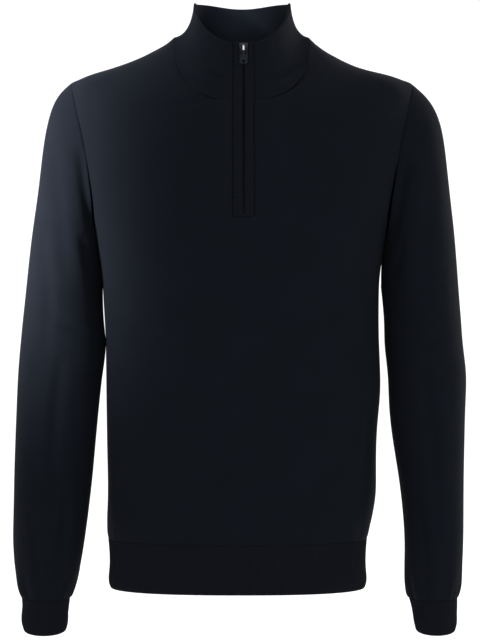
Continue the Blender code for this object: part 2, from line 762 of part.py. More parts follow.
def seams():
    """Pairs of (piece, index into its net) that are sewn together, point for point."""
    half = SHOULDER_CELLS + NECK_CELLS
    under = len(SIDE_SEAM_HEIGHTS)
    up_armhole = slice(under, None)
    first_half = list(range(ARMHOLE_CELLS + 1))
    second_half = [*range(ARMHOLE_CELLS, 2 * ARMHOLE_CELLS), 0]
    down = slice(None, under - 1, -1)
    shoulder = slice(0, SHOULDER_CELLS + 1)
    far_shoulder = slice(None, -SHOULDER_CELLS - 2, -1)
    return (
        (("front_panel", (slice(None), -1)), ("back_panel", (slice(None), 0))),
        (("front_panel", (slice(None), 0)), ("back_panel", (slice(None), -1))),
        (("front_panel", (-1, shoulder)), ("back_panel", (-1, far_shoulder))),
        (("front_panel", (-1, far_shoulder)), ("back_panel", (-1, shoulder))),
        (("front_panel", 0), ("hem_rib_front", -1)),
        (("back_panel", 0), ("hem_rib_back", -1)),
        (("hem_rib_front", (slice(None), -1)), ("hem_rib_back", (slice(None), 0))),
        (("hem_rib_front", (slice(None), 0)), ("hem_rib_back", (slice(None), -1))),
        (("front_panel", (-1, slice(half + 2, half + 3 + NECK_CELLS))),
         ("collar", (0, slice(0, NECK_CELLS + 1)))),
        (("back_panel", (-1, slice(SHOULDER_CELLS, -SHOULDER_CELLS))),
         ("collar", (0, slice(NECK_CELLS, -NECK_CELLS)))),
        (("front_panel", (-1, slice(SHOULDER_CELLS, half + 1))),
         ("collar", (0, slice(-NECK_CELLS - 1, None)))),
        (("sleeve_right", 0), ("cuff_right", -1)),
        (("sleeve_left", 0), ("cuff_left", -1)),
        (("sleeve_right", (-1, first_half)), ("front_panel", (down, 0))),
        (("sleeve_right", (-1, second_half)), ("back_panel", (up_armhole, -1))),
        (("sleeve_left", (-1, first_half)), ("back_panel", (down, 0))),
        (("sleeve_left", (-1, second_half)), ("front_panel", (up_armhole, -1))),
    )


# Each piece of cloth: its thickness, the edges that are sewn, and whether its net closes into a tube
PIECES = {
    "front_panel": (JERSEY, ("bottom", "top", "start", "end"), False),
    "back_panel": (JERSEY, ("bottom", "top", "start", "end"), False),
    "hem_rib_front": (RIB, ("top", "start", "end"), False),
    "hem_rib_back": (RIB, ("top", "start", "end"), False),
    "collar": (COLLAR_CLOTH, ("bottom",), False),
    "sleeve_right": (JERSEY, ("bottom", "top"), True),
    "sleeve_left": (JERSEY, ("bottom", "top"), True),
    "cuff_right": (RIB, ("top",), True),
    "cuff_left": (RIB, ("top",), True),
}


def build():
    clear_scene()
    knit = add_material("jersey_knit", KNIT_NAVY, 0.85)
    rib = add_material("rib_knit", RIB_NAVY, 0.85)
    tape = add_material("zip_tape", TAPE_NAVY, 0.7)
    metal = add_material("zip_metal", GUNMETAL, 0.35, 1.0)

    nets = cloth_nets()
    out = {name: facing(net, PIECES[name][2]) for name, net in nets.items()}
    for _ in range(SEWING):
        for one, other in seams():
            sew(out, one, other)
    # The collar's ends face straight ahead, so that they stay clear of the bands between them.
    for end in (0, -1):
        out["collar"][:, end] = unit(out["collar"][:, end] * (0, 1, 1))

    middle = SHOULDER_CELLS + NECK_CELLS
    foot = len(SIDE_SEAM_HEIGHTS) + len(ZIP_LINE_HEIGHTS) - 1
    rows = len(nets["front_panel"]) - 1
    slit = {(row, column) for row in range(foot, rows) for column in (middle, middle + 1)}
    for name, net in nets.items():
        thickness, edges, closed = PIECES[name]
        material = rib if "rib" in name or "cuff" in name else knit
        left_out = slit if name == "front_panel" else ()
        wall(name, drawn_in(net, edges, closed), out[name], thickness, material, closed, left_out)

    line = zip_edge(nets["front_panel"], nets["collar"])
    for side in WEARER_SIDE:
        band = band_net(side, line)
        faces = facing(band)
        wall(f"facing_band_{side}", drawn_in(band + faces * BAND_RISE, ("bottom",)), faces, BAND_CLOTH, rib)
    below = line[:1] - (0, 0, TAPE_OVERRUN)
    back = strip_net(np.concatenate([below, line]), -TAPE_HALF_WIDTH, TAPE_HALF_WIDTH, 2, 0)
    faces = facing(back)
    behind = max(BAND_CLOTH - BAND_RISE, JERSEY) + SEAM_GAP
    wall("zip_tape", back - faces * behind, faces, TAPE_CLOTH, tape)

    axes = zip_axes(line)
    add_slider(axes, metal)
    add_pull_tab(axes, metal)


build()
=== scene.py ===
"""The looks of a man's fine-knit quarter-zip sweater, worn in form and hollow.

Each piece of cloth is worked out from the same sizes as its CAD solid, drawn much finer, and takes the
solid's place: a shell of knit with soft folds, rounded edges at the seams, and raised ribs at the hem and
cuffs. The wearer faces -Y, +Z is up, and the wearer's right is at -X. Sizes are in millimetres up to the
meshes.
"""

import functools

import bpy
import numpy as np
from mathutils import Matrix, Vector


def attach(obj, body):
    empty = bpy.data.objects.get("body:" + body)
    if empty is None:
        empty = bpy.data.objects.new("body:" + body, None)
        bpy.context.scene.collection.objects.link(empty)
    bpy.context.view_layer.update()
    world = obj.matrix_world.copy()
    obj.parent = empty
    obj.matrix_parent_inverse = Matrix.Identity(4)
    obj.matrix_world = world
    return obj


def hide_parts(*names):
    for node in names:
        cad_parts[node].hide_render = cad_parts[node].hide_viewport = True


bl_info = {
    "name": "Quarter-Zip Sweater",
    "version": (1, 0, 0),
    "blender": (4, 5, 0),
    "location": "3D View > Sidebar > Sweater",
    "description": "Builds the cloth, zip and stage of a worn quarter-zip sweater",
    "category": "Add Mesh",
}

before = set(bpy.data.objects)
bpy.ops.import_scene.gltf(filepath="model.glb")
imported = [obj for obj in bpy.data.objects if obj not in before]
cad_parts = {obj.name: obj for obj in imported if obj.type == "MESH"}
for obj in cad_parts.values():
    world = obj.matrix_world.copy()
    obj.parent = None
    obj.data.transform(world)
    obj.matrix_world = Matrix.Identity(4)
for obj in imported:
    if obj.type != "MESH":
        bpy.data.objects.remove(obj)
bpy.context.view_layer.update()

METRE = 1000.0

# Seams of the garment
SEAM_GAP = 0.3          # between two pieces, in the solids
ARM_GAP = 0.0           # the sleeves may touch the body beside them

# Body
SHOULDER_TIP = -47.0
UNDERARM = -250.0
ARMHOLE_REACH = 57.0
NECK_POINT = 9.0
HEM_SEAM = -600.0
SQUARENESS = 2.5        # power of the level sections: 2 is an ellipse, more is squarer
FRONT_NECK_DROP = 84.5
FRONT_NECK_POWER = 2.7
BACK_NECK_DROP = 21.0
BACK_NECK_POWER = 2.3

# Collar
RIM_HALF_WIDTH = 58.9
RIM_FRONT = 68.0
RIM_BACK = 58.0
RIM_HEIGHT = 51.0
RIM_DROP = 57.0
RIM_DROP_POWER = 1.05
RIM_WAVE = 2.6          # how much higher it is between the sides and the middle of the back
COLLAR_KNEE = 0.5       # where the collar turns upright, as a share of the way from its seam to its rim
FLARE_POWER = 1.5       # at the sides it leaves the shoulders almost flat and turns later
FLARE_LOWER = 0.42
FLARE_INNER = 0.36

# Zip
ZIP_X = 1.5
ZIP_FOOT = -214.0
BAND_WIDTH = 12.5
BAND_RISE = 0.7
BAND_BOW = 0.8
TEETH_GAP = 0.9         # from the middle to each band
SLIDER_GAP = 5.2        # and beside the slider
SLIDER_ROOM = 17.0      # how far below the rim the bands stay apart
TAPE_HALF_WIDTH = 11.0
TAPE_CLOTH = 1.0
TAPE_BEHIND = 2.3       # from the cloth's outer face back to the tape
STRIP_CELLS = 2         # across a band or the tape

# Coarse nets, in cells, as in the solids
SHOULDER_CELLS = 5
NECK_CELLS = 8
ARMHOLE_CELLS = 14
COLLAR_CELLS = 7
FINE = 400              # points on a curve before it is cut evenly
SMOOTHING = 160         # rounds of drawing a net even
STEP = 0.05             # from a point to the one that its slope is taken from

WEARER_SIDE = {"right": -1, "left": 1}
FACE_SIDE = {"front": -1, "back": 1}


def smooth(keys, values, at):
    """Reads between the rows of a table along a curve that never overshoots them."""
    keys, values = np.asarray(keys, float), np.asarray(values, float)
    step = np.diff(keys)
    slope = np.diff(values) / step
    before, after = slope[:-1], slope[1:]
    turning = before * after <= 0
    total = np.where(turning, 1, before + after)
    tangent = np.concatenate([slope[:1], np.where(turning, 0, 2 * before * after / total), slope[-1:]])
    row = np.clip(np.searchsorted(keys, at, "right") - 1, 0, len(step) - 1)
    u = np.clip((at - keys[row]) / step[row], 0, 1)
    start = values[row] * (1 + 2 * u) * (1 - u) ** 2 + tangent[row] * step[row] * u * (1 - u) ** 2
    end = values[row + 1] * (3 - 2 * u) * u**2 - tangent[row + 1] * step[row] * (1 - u) * u**2
    return start + end


class Sections:
    """A short table with named columns, the first of them the height, lowest row first."""

    def __init__(self, columns, rows):
        self.columns = dict(zip(columns, zip(*rows)))

    def at(self, name, height):
        return smooth(self.columns["height"], self.columns[name], np.asarray(height, float))


# Half widths of the body from the hem seam up to the neck points. Between the underarm and the shoulder
# tips the sections run on round the arm, and the panels end at the armholes.
BODY = Sections(
    ("height", "right", "left"),
    (
        (-600, 162.7, 151.5),
        (-585, 163.9, 155.2),
        (-565, 163.8, 159.5),
        (-540, 163.3, 162.6),
        (-487, 164.3, 163.0),
        (-409, 165.4, 168.2),
        (-365, 165.8, 166.4),
        (-331, 167.6, 165.9),
        (-290, 169.8, 166.7),
        (-250, 176.0, 172.5),
        (-200, 188.5, 187.5),
        (-160, 198.5, 198.5),
        (-110, 208.5, 208.5),
        (-80, 213.0, 212.5),
        (-60, 212.0, 211.0),
        (-47, 208.0, 205.0),
        (-42, 196.0, 189.5),
        (-34, 173.0, 161.5),
        (-27, 152.5, 137.0),
        (-19, 131.0, 121.5),
        (-8, 108.5, 101.5),
        (2, 91.0, 88.0),
        (9, 83.0, 81.0),
    ),
)

# How far the body's level sections reach in front of the shoulder line and behind it
DEPTH = Sections(
    ("height", "front", "back"),
    (
        (-600, 103, 99),
        (-585, 107, 103),
        (-565, 109, 104),
        (-500, 107, 101),
        (-420, 105, 93),
        (-330, 110, 99),
        (-250, 116, 109),
        (-180, 116, 113),
        (-120, 107, 108),
        (-75, 88, 98),
        (-53, 70, 92),
        (-34, 54, 83),
        (-12, 38, 66),
        (9, 22, 40),
    ),
)

# The ribbed hem, as shares of the hem seam's half widths and depths
HEM = Sections(
    ("height", "across", "deep"),
    (
        (-660, 0.980, 0.967),
        (-656, 0.991, 0.986),
        (-630, 0.993, 0.990),
        (-610, 0.990, 0.985),
        (-600, 1.000, 1.000),
    ),
)

# The sleeves: outer and inner sides as distances from the middle of the body, and the middle and half
# depth of the section from front to back
SLEEVE_COLUMNS = ("height", "outer", "inner", "middle", "depth")
SLEEVES = {
    "right": Sections(
        SLEEVE_COLUMNS,
        (
            (-708, 263.1, 212.6, -27, 26.0),
            (-701, 265.6, 210.7, -27, 27.5),
            (-690, 266.2, 210.3, -26, 28.0),
            (-679, 265.4, 209.2, -25, 28.0),
            (-671, 266.1, 208.3, -25, 29.0),
            (-661, 270.3, 203.7, -24, 33.0),
            (-642, 274.0, 197.9, -22, 38.5),
            (-602, 277.1, 190.8, -20, 43.5),
            (-525, 276.4, 181.6, -14, 47.0),
            (-448, 274.3, 174.9, -8, 52.0),
            (-409, 272.9, 170.8, -5, 56.0),
            (-366, 269.8, 166.2, -3, 60.0),
            (-331, 266.4, 168.9, -2, 62.0),
            (-292, 262.3, 170.2, -1, 63.0),
            (-250, 258.0, 176.4, 0, 62.0),
            (-174, 247.7, 190.0, 0, 60.0),
            (-116, 240.6, 200.0, 0, 60.0),
            (-87, 234.4, 204.0, 0, 60.0),
            (-67, 226.6, 206.0, 0, 60.0),
            (-55, 217.0, 207.0, 0, 60.0),
            (-47, 208.0, 208.0, 0, 60.0),
        ),
    ),
    "left": Sections(
        SLEEVE_COLUMNS,
        (
            (-708, 256.7, 209.6, -27, 24.0),
            (-701, 258.7, 207.7, -27, 26.0),
            (-690, 259.1, 206.0, -26, 27.0),
            (-679, 259.5, 204.0, -25, 28.0),
            (-671, 259.5, 201.7, -25, 29.0),
            (-661, 262.5, 198.1, -24, 33.0),
            (-642, 265.4, 196.0, -22, 37.0),
            (-602, 267.4, 196.4, -20, 41.5),
            (-525, 268.6, 189.6, -14, 45.0),
            (-448, 270.8, 179.0, -8, 50.0),
            (-409, 272.4, 177.6, -5, 54.0),
            (-366, 268.6, 173.5, -3, 58.0),
            (-331, 265.9, 172.4, -2, 61.0),
            (-292, 262.9, 169.2, -1, 62.0),
            (-270, 261.4, 169.8, 0, 62.0),
            (-250, 260.0, 173.0, 0, 62.0),
            (-174, 251.8, 190.0, 0, 60.0),
            (-116, 244.9, 200.0, 0, 60.0),
            (-87, 237.8, 204.0, 0, 60.0),
            (-67, 226.4, 205.0, 0, 60.0),
            (-55, 214.5, 205.0, 0, 60.0),
            (-47, 205.0, 205.0, 0, 60.0),
        ),
    ),
}

# Folds that the photo shows, and similar ones where it shows nothing. Each runs along the cloth from start
# over bend to end, given by x and z as seen from the front or, for the back, through the garment.
FOLD_COLUMNS = ("piece", "face", "start_x", "start_z", "bend_x", "bend_z", "end_x", "end_z", "depth", "width")
FOLDS = (
    ("front_panel", "front", -182, -140, -174, -205, -160, -300, 3.4, 8),
    ("front_panel", "front", 186, -146, 174, -212, 162, -300, 3.6, 8),
    ("front_panel", "front", -12.5, -62, -12.5, -130, -12.5, -222, 0.5, 2.6),
    ("front_panel", "front", 15.5, -62, 15.5, -130, 15.5, -222, 0.5, 2.6),
    ("front_panel", "front", 172, -190, 140, -250, 128, -310, 1.2, 16),
    ("front_panel", "front", -166, -200, -132, -262, -120, -330, 1.0, 16),
    ("front_panel", "front", -22, -66, -56, -78, -100, -92, 2.4, 7),
    ("front_panel", "front", 24, -70, 58, -68, 90, -26, 3.2, 5.5),
    ("front_panel", "front", 152, -440, 148, -520, 139, -594, 3.0, 6),
    ("front_panel", "front", 140, -505, 136, -550, 130, -596, 1.4, 6),
    ("front_panel", "front", -156, -470, -152, -540, -146, -594, 1.5, 7),
    ("front_panel", "front", -60, -430, -30, -520, -38, -596, 0.6, 14),
    ("front_panel", "front", 62, -410, 44, -500, 52, -596, 0.6, 15),
    ("back_panel", "back", -170, -150, -172, -225, -158, -330, 4.2, 11),
    ("back_panel", "back", 170, -150, 172, -225, 158, -330, 3.8, 11),
    ("back_panel", "back", -150, -190, -96, -270, -78, -380, 2.6, 18),
    ("back_panel", "back", 150, -200, 104, -280, 70, -370, 2.2, 18),
    ("back_panel", "back", -40, -330, -62, -440, -52, -560, 2.9, 17),
    ("back_panel", "back", 34, -350, 56, -450, 60, -570, 2.6, 16),
    ("back_panel", "back", -120, -470, -132, -540, -126, -594, 1.9, 8),
    ("back_panel", "back", 118, -480, 128, -540, 122, -594, 1.9, 8),
    ("back_panel", "back", -70, -60, 0, -84, 70, -62, 1.3, 14),
    ("sleeve_right", "front", -194, -128, -188, -180, -178, -236, 4.2, 7),
    ("sleeve_right", "front", -192, -232, -182, -268, -176, -318, 3.4, 7),
    ("sleeve_right", "front", -230, -126, -214, -200, -212, -292, 2.6, 9),
    ("sleeve_right", "front", -242, -226, -226, -296, -236, -380, 3.8, 8),
    ("sleeve_right", "front", -214, -376, -228, -452, -226, -560, 4.4, 8),
    ("sleeve_right", "front", -240, -318, -208, -352, -174, -342, 3.0, 8),
    ("sleeve_right", "front", -256, -392, -220, -384, -182, -398, 1.4, 10),
    ("sleeve_right", "front", -206, -540, -220, -610, -214, -664, 4.0, 6.5),
    ("sleeve_right", "front", -252, -560, -244, -620, -246, -666, 2.8, 6),
    ("sleeve_right", "back", -200, -300, -236, -340, -266, -332, 3.5, 12),
    ("sleeve_right", "back", -190, -372, -228, -392, -262, -372, 3.2, 12),
    ("sleeve_right", "back", -240, -540, -234, -610, -240, -664, 2.9, 8),
    ("sleeve_left", "front", 198, -140, 188, -190, 178, -250, 4.2, 7),
    ("sleeve_left", "front", 192, -240, 184, -270, 176, -312, 3.0, 7),
    ("sleeve_left", "front", 230, -150, 216, -226, 214, -310, 2.2, 10),
    ("sleeve_left", "front", 214, -390, 232, -470, 230, -560, 4.0, 8),
    ("sleeve_left", "front", 180, -346, 214, -372, 250, -352, 3.0, 8),
    ("sleeve_left", "front", 186, -404, 224, -410, 258, -392, 1.3, 10),
    ("sleeve_left", "front", 208, -548, 222, -612, 218, -664, 3.6, 6.5),
    ("sleeve_left", "front", 246, -596, 242, -636, 244, -666, 1.4, 6),
    ("sleeve_left", "back", 200, -306, 236, -346, 264, -334, 3.5, 12),
    ("sleeve_left", "back", 190, -378, 226, -396, 260, -376, 2.9, 12),
    ("sleeve_left", "back", 238, -548, 232, -614, 238, -664, 2.7, 8),
    ("collar", "front", -80, -34, -58, -56, -26, -64, 2.4, 6),
    ("collar", "front", -46, -41, -30, -49, -14, -50, 3.2, 3.4),
    ("collar", "front", 80, -18, 60, -46, 24, -58, 3.0, 5.5),
    ("collar", "front", -46, -8, -40, -28, -22, -40, 0.6, 7),
    ("collar", "front", 44, -4, 34, -26, 20, -34, 0.6, 7),
    ("collar", "back", -52, 2, 0, -2, 52, 4, 1.2, 8),
)

# A fold's form
FOLD_TROUGH = 1.3
FOLD_BANK = 0.5         # the cloth raised beside it, twice as wide
FOLD_LEAN = 0.85        # below 1, a fold is deepest nearer to its start
FOLD_BLUNT = 0.7        # below 1, it ends over a short way
FOLD_FACING = 2.5       # how late it fades as the cloth turns to the side

# Gathers where a sleeve goes into its cuff, and where the body goes into the ribbed hem
PLEAT_COLUMNS = ("waves", "shift", "depth", "reach")
SLEEVE_PLEATS = ((9, 0.0, 1.0, 42.0), (17, 1.3, 0.55, 26.0), (23, 0.4, 0.35, 14.0))
HEM_PLEATS = ((13, 0.7, 0.35, 46.0), (22, 2.1, 0.30, 28.0), (37, 0.2, 0.22, 16.0))
UNEVEN_PLEATS = ((2, 0.45), (5, 0.3))  # waves in the gathers' depth, and how much each changes it
PLEAT_LEAN = 0.5        # below 1, the gathers are deepest nearer to their seam
RIB_SHAPE = 0.8         # below 1, the ribs are wider than the grooves

# Rows of the nets
SIDE_SEAM_HEIGHTS = (-600, -588, -574, -556, -530, -500, -465, -425, -385, -345, -305, -275)
ZIP_LINE_HEIGHTS = (-262, -246, -230, ZIP_FOOT)
HEM_HEIGHTS = (-660, -656, -638, -618, -600)
HEAD_HEIGHTS = (-47, -52, -61, -74, -94, -119, -150, -186, -228, -300)
HEAD_FEET = (-250, -253, -257, -261, -266, -271, -277, -284, -292, -300)
ARM_HEIGHTS = (-333, -366, -400, -438, -480, -524, -566, -604, -630, -646, -657, -665, -671)
CUFF_HEIGHTS = (-671, -679, -690, -701, -708)
HEAD_FADE = 1.4         # how soon a sleeve's rings leave the armhole's form
CUFF_DROP = 6.0         # the cuff's edge hangs lower in front by this, and is higher behind
CUFF_DROP_POWER = 0.7

# How the cloth is drawn
EDGE_STEPS = 6          # steps round a cloth edge, from its outer face to its inner one
SEAM_ROUND = 0.12       # the edges are rounded this far at a linked seam
COLLAR_ROUND = 0.55     # and at the collar's, which is a soft crease
SEAM_POINTS = 240       # points on each part of a seam
FOLLOW_ROWS = 10        # rows beside an edge that follow it
CORNER_REACH = 2        # cells over which an edge's sharp turn fades into the cloth
FOLD_STEPS = 28         # points along a fold
RIB_STEPS = 6           # columns in a rib
OVERLAP = 4             # cells by which a tube overlaps itself, so that its curves meet
COLLAR_FINER = 1.5      # the collar's cells are this much smaller
ZIP_CELL = 1.6
BAND_CELL = 0.8
TAPE_CELL = 2.0

# The zip's bands, their bar tack and the hard parts
GAPE = 0.45             # how much wider each side of the slit is, at most
GAPE_HEAD = -30         # and between which heights
GAPE_FOOT = -190
TACK_START = -6.4
TACK_END = 0.3
TACK_HEIGHT = -189.4
TACK_THREAD = 0.45
TACK_ROWS = 3
TACK_RISE = 0.1         # its threads' middles stand out from the band by this
TACK_TWIST = 9.0        # how fast a thread swells and thins along the bar
TACK_POINTS = 41
TACK_SIDES = 6
TACK_SWELL = 0.25
TACK_TIP = 0.02
HARD_EDGE = 0.22
HARD_ANGLE = 35         # sharper edges are rounded
# The slider's glint is painted: its bridge is coloured bright where it stands out to the front.
GLINT_FRONT = -0.0736    # in metres: the slider's bridge stands out past this, toward the camera, and is painted bright there as a glint
GLINT_FADE = 0.0006
PAINTED_GLINT = "#e2e5ea"

# The zip's teeth
TOOTH_PITCH = 2.2       # of each side's teeth
TOOTH_HEIGHT = 0.9
TOOTH_DEPTH = 1.0
TOOTH_REACH = 1.4       # from the middle out to the tape
TOOTH_OVERLAP = 0.45    # past the middle
TOOTH_TAPER = 0.6       # its height in front, as a share
TEETH_BEHIND = 0.9      # from the bands' line back to the teeth
TEETH_FOOT = 3.0        # bare ends of the slit
TEETH_TOP = 15.0

# The grain of the finishes
STITCH_DEPTH = 0.3
STITCH_ENDS = 0.45      # how much lower a stitch is at its ends, as a share
PAINTED_STITCH_SHADE = 0.3      # painted shade: how much darker the knit is coloured between its stitches, where shade falls
NAP_TUFT = 1.11         # coarser than the real nap, which would be too fine to show
NAP_HEIGHT = 0.35       # as a share of a stitch's
DYE_PATCH = 29.4        # size of the patches where the dye's tone changes
DYE_SHADE = 0.24        # and how much it changes
TAPE_THREAD = 0.556     # from one thread to the next
TAPE_RELIEF = 0.2
THREAD_TWIST = 0.35     # from one turn of the thread's strands to the next
THREAD_RELIEF = 0.1
WAVE_TURN = 20          # radians that Blender's wave texture turns by over its scale
POLISH_MARK = 0.4       # coarser than the real polishing marks, which would be too fine to show
MARK_ROUGHNESS = 0.12   # from the smoothest to the roughest of the metal

# The stage, in metres where METRE multiplies it
CAMERA_PLACE = (-0.0027, -2.8, -0.336)
CAMERA_REACH = 40
FLOOR = -0.80 * METRE
BACKDROP_NEAR = -6.0 * METRE
BACKDROP_FAR = 7.0 * METRE
BACKDROP_BEND = 2.0 * METRE
BACKDROP_TOP = 6.0 * METRE
BACKDROP_HALF = 7.0 * METRE
BACKDROP_STEPS = 16     # round its bend

# Soft lights: where each stands and aims, its width and height in metres, and its spread in degrees. The
# spread keeps the key light to the sleeve on the viewer's left, and the neck light to the collar's inside.
LIGHT_COLUMNS = ("setting", "place", "aim", "width", "height", "spread")
LIGHTS = (
    ("key", (-1.05, -0.94, 0.19), (-0.285, -0.03, 0.09), 0.08, 0.9, 17),
    ("fill", (1.6, -1.8, 0.2), (0, 0, -0.3), 1.6, 1.6, 180),
    ("neck", (0, -1.3, 0.1), (0, 0.05, 0.057), 0.02, 0.02, 5.5),
    ("back", (1.9, 1.6, 0.9), (0, 0, -0.3), 0.8, 0.8, 180),
)


def unit(vectors):
    """The vectors at a length of 1."""
    return vectors / np.linalg.norm(vectors, axis=-1, keepdims=True)


def place(x, y, z):
    """Points, from numbers or arrays for each axis."""
    return np.stack(np.broadcast_arrays(x, y, z), -1).astype(float)


def evenly(curve, cells):
    """The curve cut into lengths of equal size."""
    length = np.concatenate([[0], np.cumsum(np.linalg.norm(np.diff(curve, axis=0), axis=1))])
    at = np.linspace(0, length[-1], cells + 1)
    return np.stack([np.interp(at, length, curve[:, axis]) for axis in range(3)], -1)


# ---- The body's outer surface

def half_width(x, z):
    """The body's half width on x's side at height z."""
    return np.where(np.asarray(x) < 0, BODY.at("right", z), BODY.at("left", z))


def on_face(face, x, z):
    """The point of the front or back that has this x and z."""
    share = np.clip(np.abs(x) / half_width(x, z), 0, 1)
    reach = DEPTH.at(face, z) * (1 - share**SQUARENESS) ** (1 / SQUARENESS)
    return place(x, FACE_SIDE[face] * reach, z)


def body_radius(points):
    """1 on the body's surface, less inside it and more outside it."""
    x, y, z = np.moveaxis(points, -1, 0)
    across = np.abs(x) / half_width(x, z)
    deep = np.abs(y) / np.where(y < 0, DEPTH.at("front", z), DEPTH.at("back", z))
    return (across**SQUARENESS + deep**SQUARENESS) ** (1 / SQUARENESS)


def moved_level(points, share):
    """The points at this share of their way out from the body's axis."""
    return points * np.stack([share, share, np.ones_like(share)], -1)


def on_body(points):
    """The points moved the short way onto the body's surface."""
    for _ in range(2):
        here = body_radius(points)
        slope = np.stack([(body_radius(points + step) - here) / STEP for step in STEP * np.eye(3)], -1)
        points = points + ((1 - here) / (slope**2).sum(-1))[..., None] * slope
    return points


def clear_of_body(points, gap):
    """The points, those nearer to the body than the gap moved level away from it."""
    from_axis = np.linalg.norm(points[..., :2], axis=-1)
    least = 1 + gap / from_axis
    return moved_level(points, np.maximum(1, least / body_radius(points)))


# ---- Edges that two pieces share

def armhole(side, face, cells=ARMHOLE_CELLS):
    """Half of an armhole, from the shoulder tip down one face to the underarm."""
    turn = np.linspace(0, np.pi, FINE)
    z = (SHOULDER_TIP + UNDERARM) / 2 + (SHOULDER_TIP - UNDERARM) / 2 * np.cos(turn)
    reach = ARMHOLE_REACH * np.sin(turn)
    share = (1 - (reach / DEPTH.at(face, z)) ** SQUARENESS) ** (1 / SQUARENESS)
    return evenly(place(WEARER_SIDE[side] * BODY.at(side, z) * share, FACE_SIDE[face] * reach, z), cells)


def shoulder_seam(side, cells=SHOULDER_CELLS):
    """From the tip up to the neck point."""
    height = np.linspace(SHOULDER_TIP, NECK_POINT, FINE)
    x = WEARER_SIDE[side] * BODY.at(side, height)
    return evenly(place(x, 0, height), cells)


def neckline(side, face, end_x=0.0, cells=NECK_CELLS):
    """From the neck point down one face, to the middle or to end_x."""
    drop = FRONT_NECK_DROP if face == "front" else BACK_NECK_DROP
    power = FRONT_NECK_POWER if face == "front" else BACK_NECK_POWER
    width = BODY.at(side, NECK_POINT)
    stop = np.arccos((abs(end_x) / width) ** (power / 2))
    turn = np.linspace(0, stop, FINE)
    x = WEARER_SIDE[side] * width * np.cos(turn) ** (2 / power)
    z = NECK_POINT - drop * np.sin(turn) ** (2 / power)
    return evenly(on_face(face, x, z), cells)


def side_edge(side, face):
    """The side seam and then the armhole, from the hem to the shoulder tip."""
    heights = np.array(SIDE_SEAM_HEIGHTS, float)
    seam = place(WEARER_SIDE[side] * BODY.at(side, heights), 0, heights)
    return np.concatenate([seam, armhole(side, face)[::-1]])


def hem_seam(face, from_x, to_x, cells):
    """The seam above the ribbed hem, on one face, from one x to another."""
    turn = np.linspace(np.arccos(from_x / half_width(from_x, HEM_SEAM)),
                       np.arccos(to_x / half_width(to_x, HEM_SEAM)), FINE)
    x = np.cos(turn) * half_width(np.cos(turn), HEM_SEAM)
    return evenly(on_face(face, x, HEM_SEAM), cells)


# ---- Nets of points for the cloth

def net_between(bottom, top, start, end):
    """Points between four edges. Rows run up from the bottom edge and columns from start to end."""
    v = np.linspace(0, 1, len(start))[:, None, None]
    u = np.linspace(0, 1, len(bottom))[None, :, None]
    ruled = (1 - v) * bottom + v * top + (1 - u) * start[:, None] + u * end[:, None]
    corners = (1 - v) * ((1 - u) * bottom[0] + u * bottom[-1]) + v * ((1 - u) * top[0] + u * top[-1])
    return ruled - corners


def evened(net):
    """The net drawn even on the body's surface, its four edges held."""
    net = net.copy()
    for _ in range(SMOOTHING):
        around = net[:-2, 1:-1] + net[2:, 1:-1] + net[1:-1, :-2] + net[1:-1, 2:]
        net[1:-1, 1:-1] = on_body(around / 4)
    return net


def zip_line(x):
    """The line up the front at this x, from the hem seam to the neckline."""
    side = "right" if x < ZIP_X else "left"
    below = np.array(SIDE_SEAM_HEIGHTS, float)
    top = neckline(side, "front", x)[-1, 2]
    above = np.linspace(ZIP_FOOT, top, ARMHOLE_CELLS - len(ZIP_LINE_HEIGHTS) + 2)[1:]
    return on_face("front", x, np.concatenate([below, ZIP_LINE_HEIGHTS, above]))


def front_net():
    """Columns run from the wearer's right side to the left, with two cells below the zip in the middle."""
    slot = BAND_WIDTH + SEAM_GAP
    right_x, left_x = ZIP_X - slot, ZIP_X + slot
    cells = SHOULDER_CELLS + NECK_CELLS
    tip_right, tip_left = -BODY.at("right", HEM_SEAM), BODY.at("left", HEM_SEAM)
    right = net_between(
        hem_seam("front", tip_right, right_x, cells),
        np.concatenate([shoulder_seam("right"), neckline("right", "front", right_x)[1:]]),
        side_edge("right", "front"),
        zip_line(right_x),
    )
    left = net_between(
        hem_seam("front", left_x, tip_left, cells),
        np.concatenate([shoulder_seam("left"), neckline("left", "front", left_x)[1:]])[::-1],
        zip_line(left_x),
        side_edge("left", "front"),
    )
    middle = zip_line(ZIP_X)[:, None]
    return np.concatenate([evened(right), middle, evened(left)], axis=1)


def back_net():
    """Columns run from the wearer's left side to the right."""
    cells = 2 * (SHOULDER_CELLS + NECK_CELLS)
    left_half = np.concatenate([shoulder_seam("left"), neckline("left", "back")[1:]])
    right_half = np.concatenate([shoulder_seam("right"), neckline("right", "back")[1:]])
    return evened(net_between(
        hem_seam("back", BODY.at("left", HEM_SEAM), -BODY.at("right", HEM_SEAM), cells),
        np.concatenate([left_half, right_half[-2::-1]]),
        side_edge("left", "back"),
        side_edge("right", "back"),
    ))


def hem_net(panel):
    """The ribbed hem below a panel, rows from its edge up to the seam."""
    heights = np.array(HEM_HEIGHTS, float)[:, None]
    seam = panel[0][None]
    return place(
        seam[..., 0] * HEM.at("across", heights), seam[..., 1] * HEM.at("deep", heights), heights
    )


def rim(turn):
    """The collar's folded top edge. The turn runs from the wearer's left over the back."""
    y = np.where(np.sin(turn) < 0, RIM_FRONT, RIM_BACK) * np.sin(turn)
    forward = np.clip(-y / RIM_FRONT, 0, 1)
    wave = RIM_WAVE * np.sin(2 * turn) ** 2 * (np.sin(turn) > 0)
    return place(RIM_HALF_WIDTH * np.cos(turn), y, RIM_HEIGHT + wave - RIM_DROP * forward**RIM_DROP_POWER)


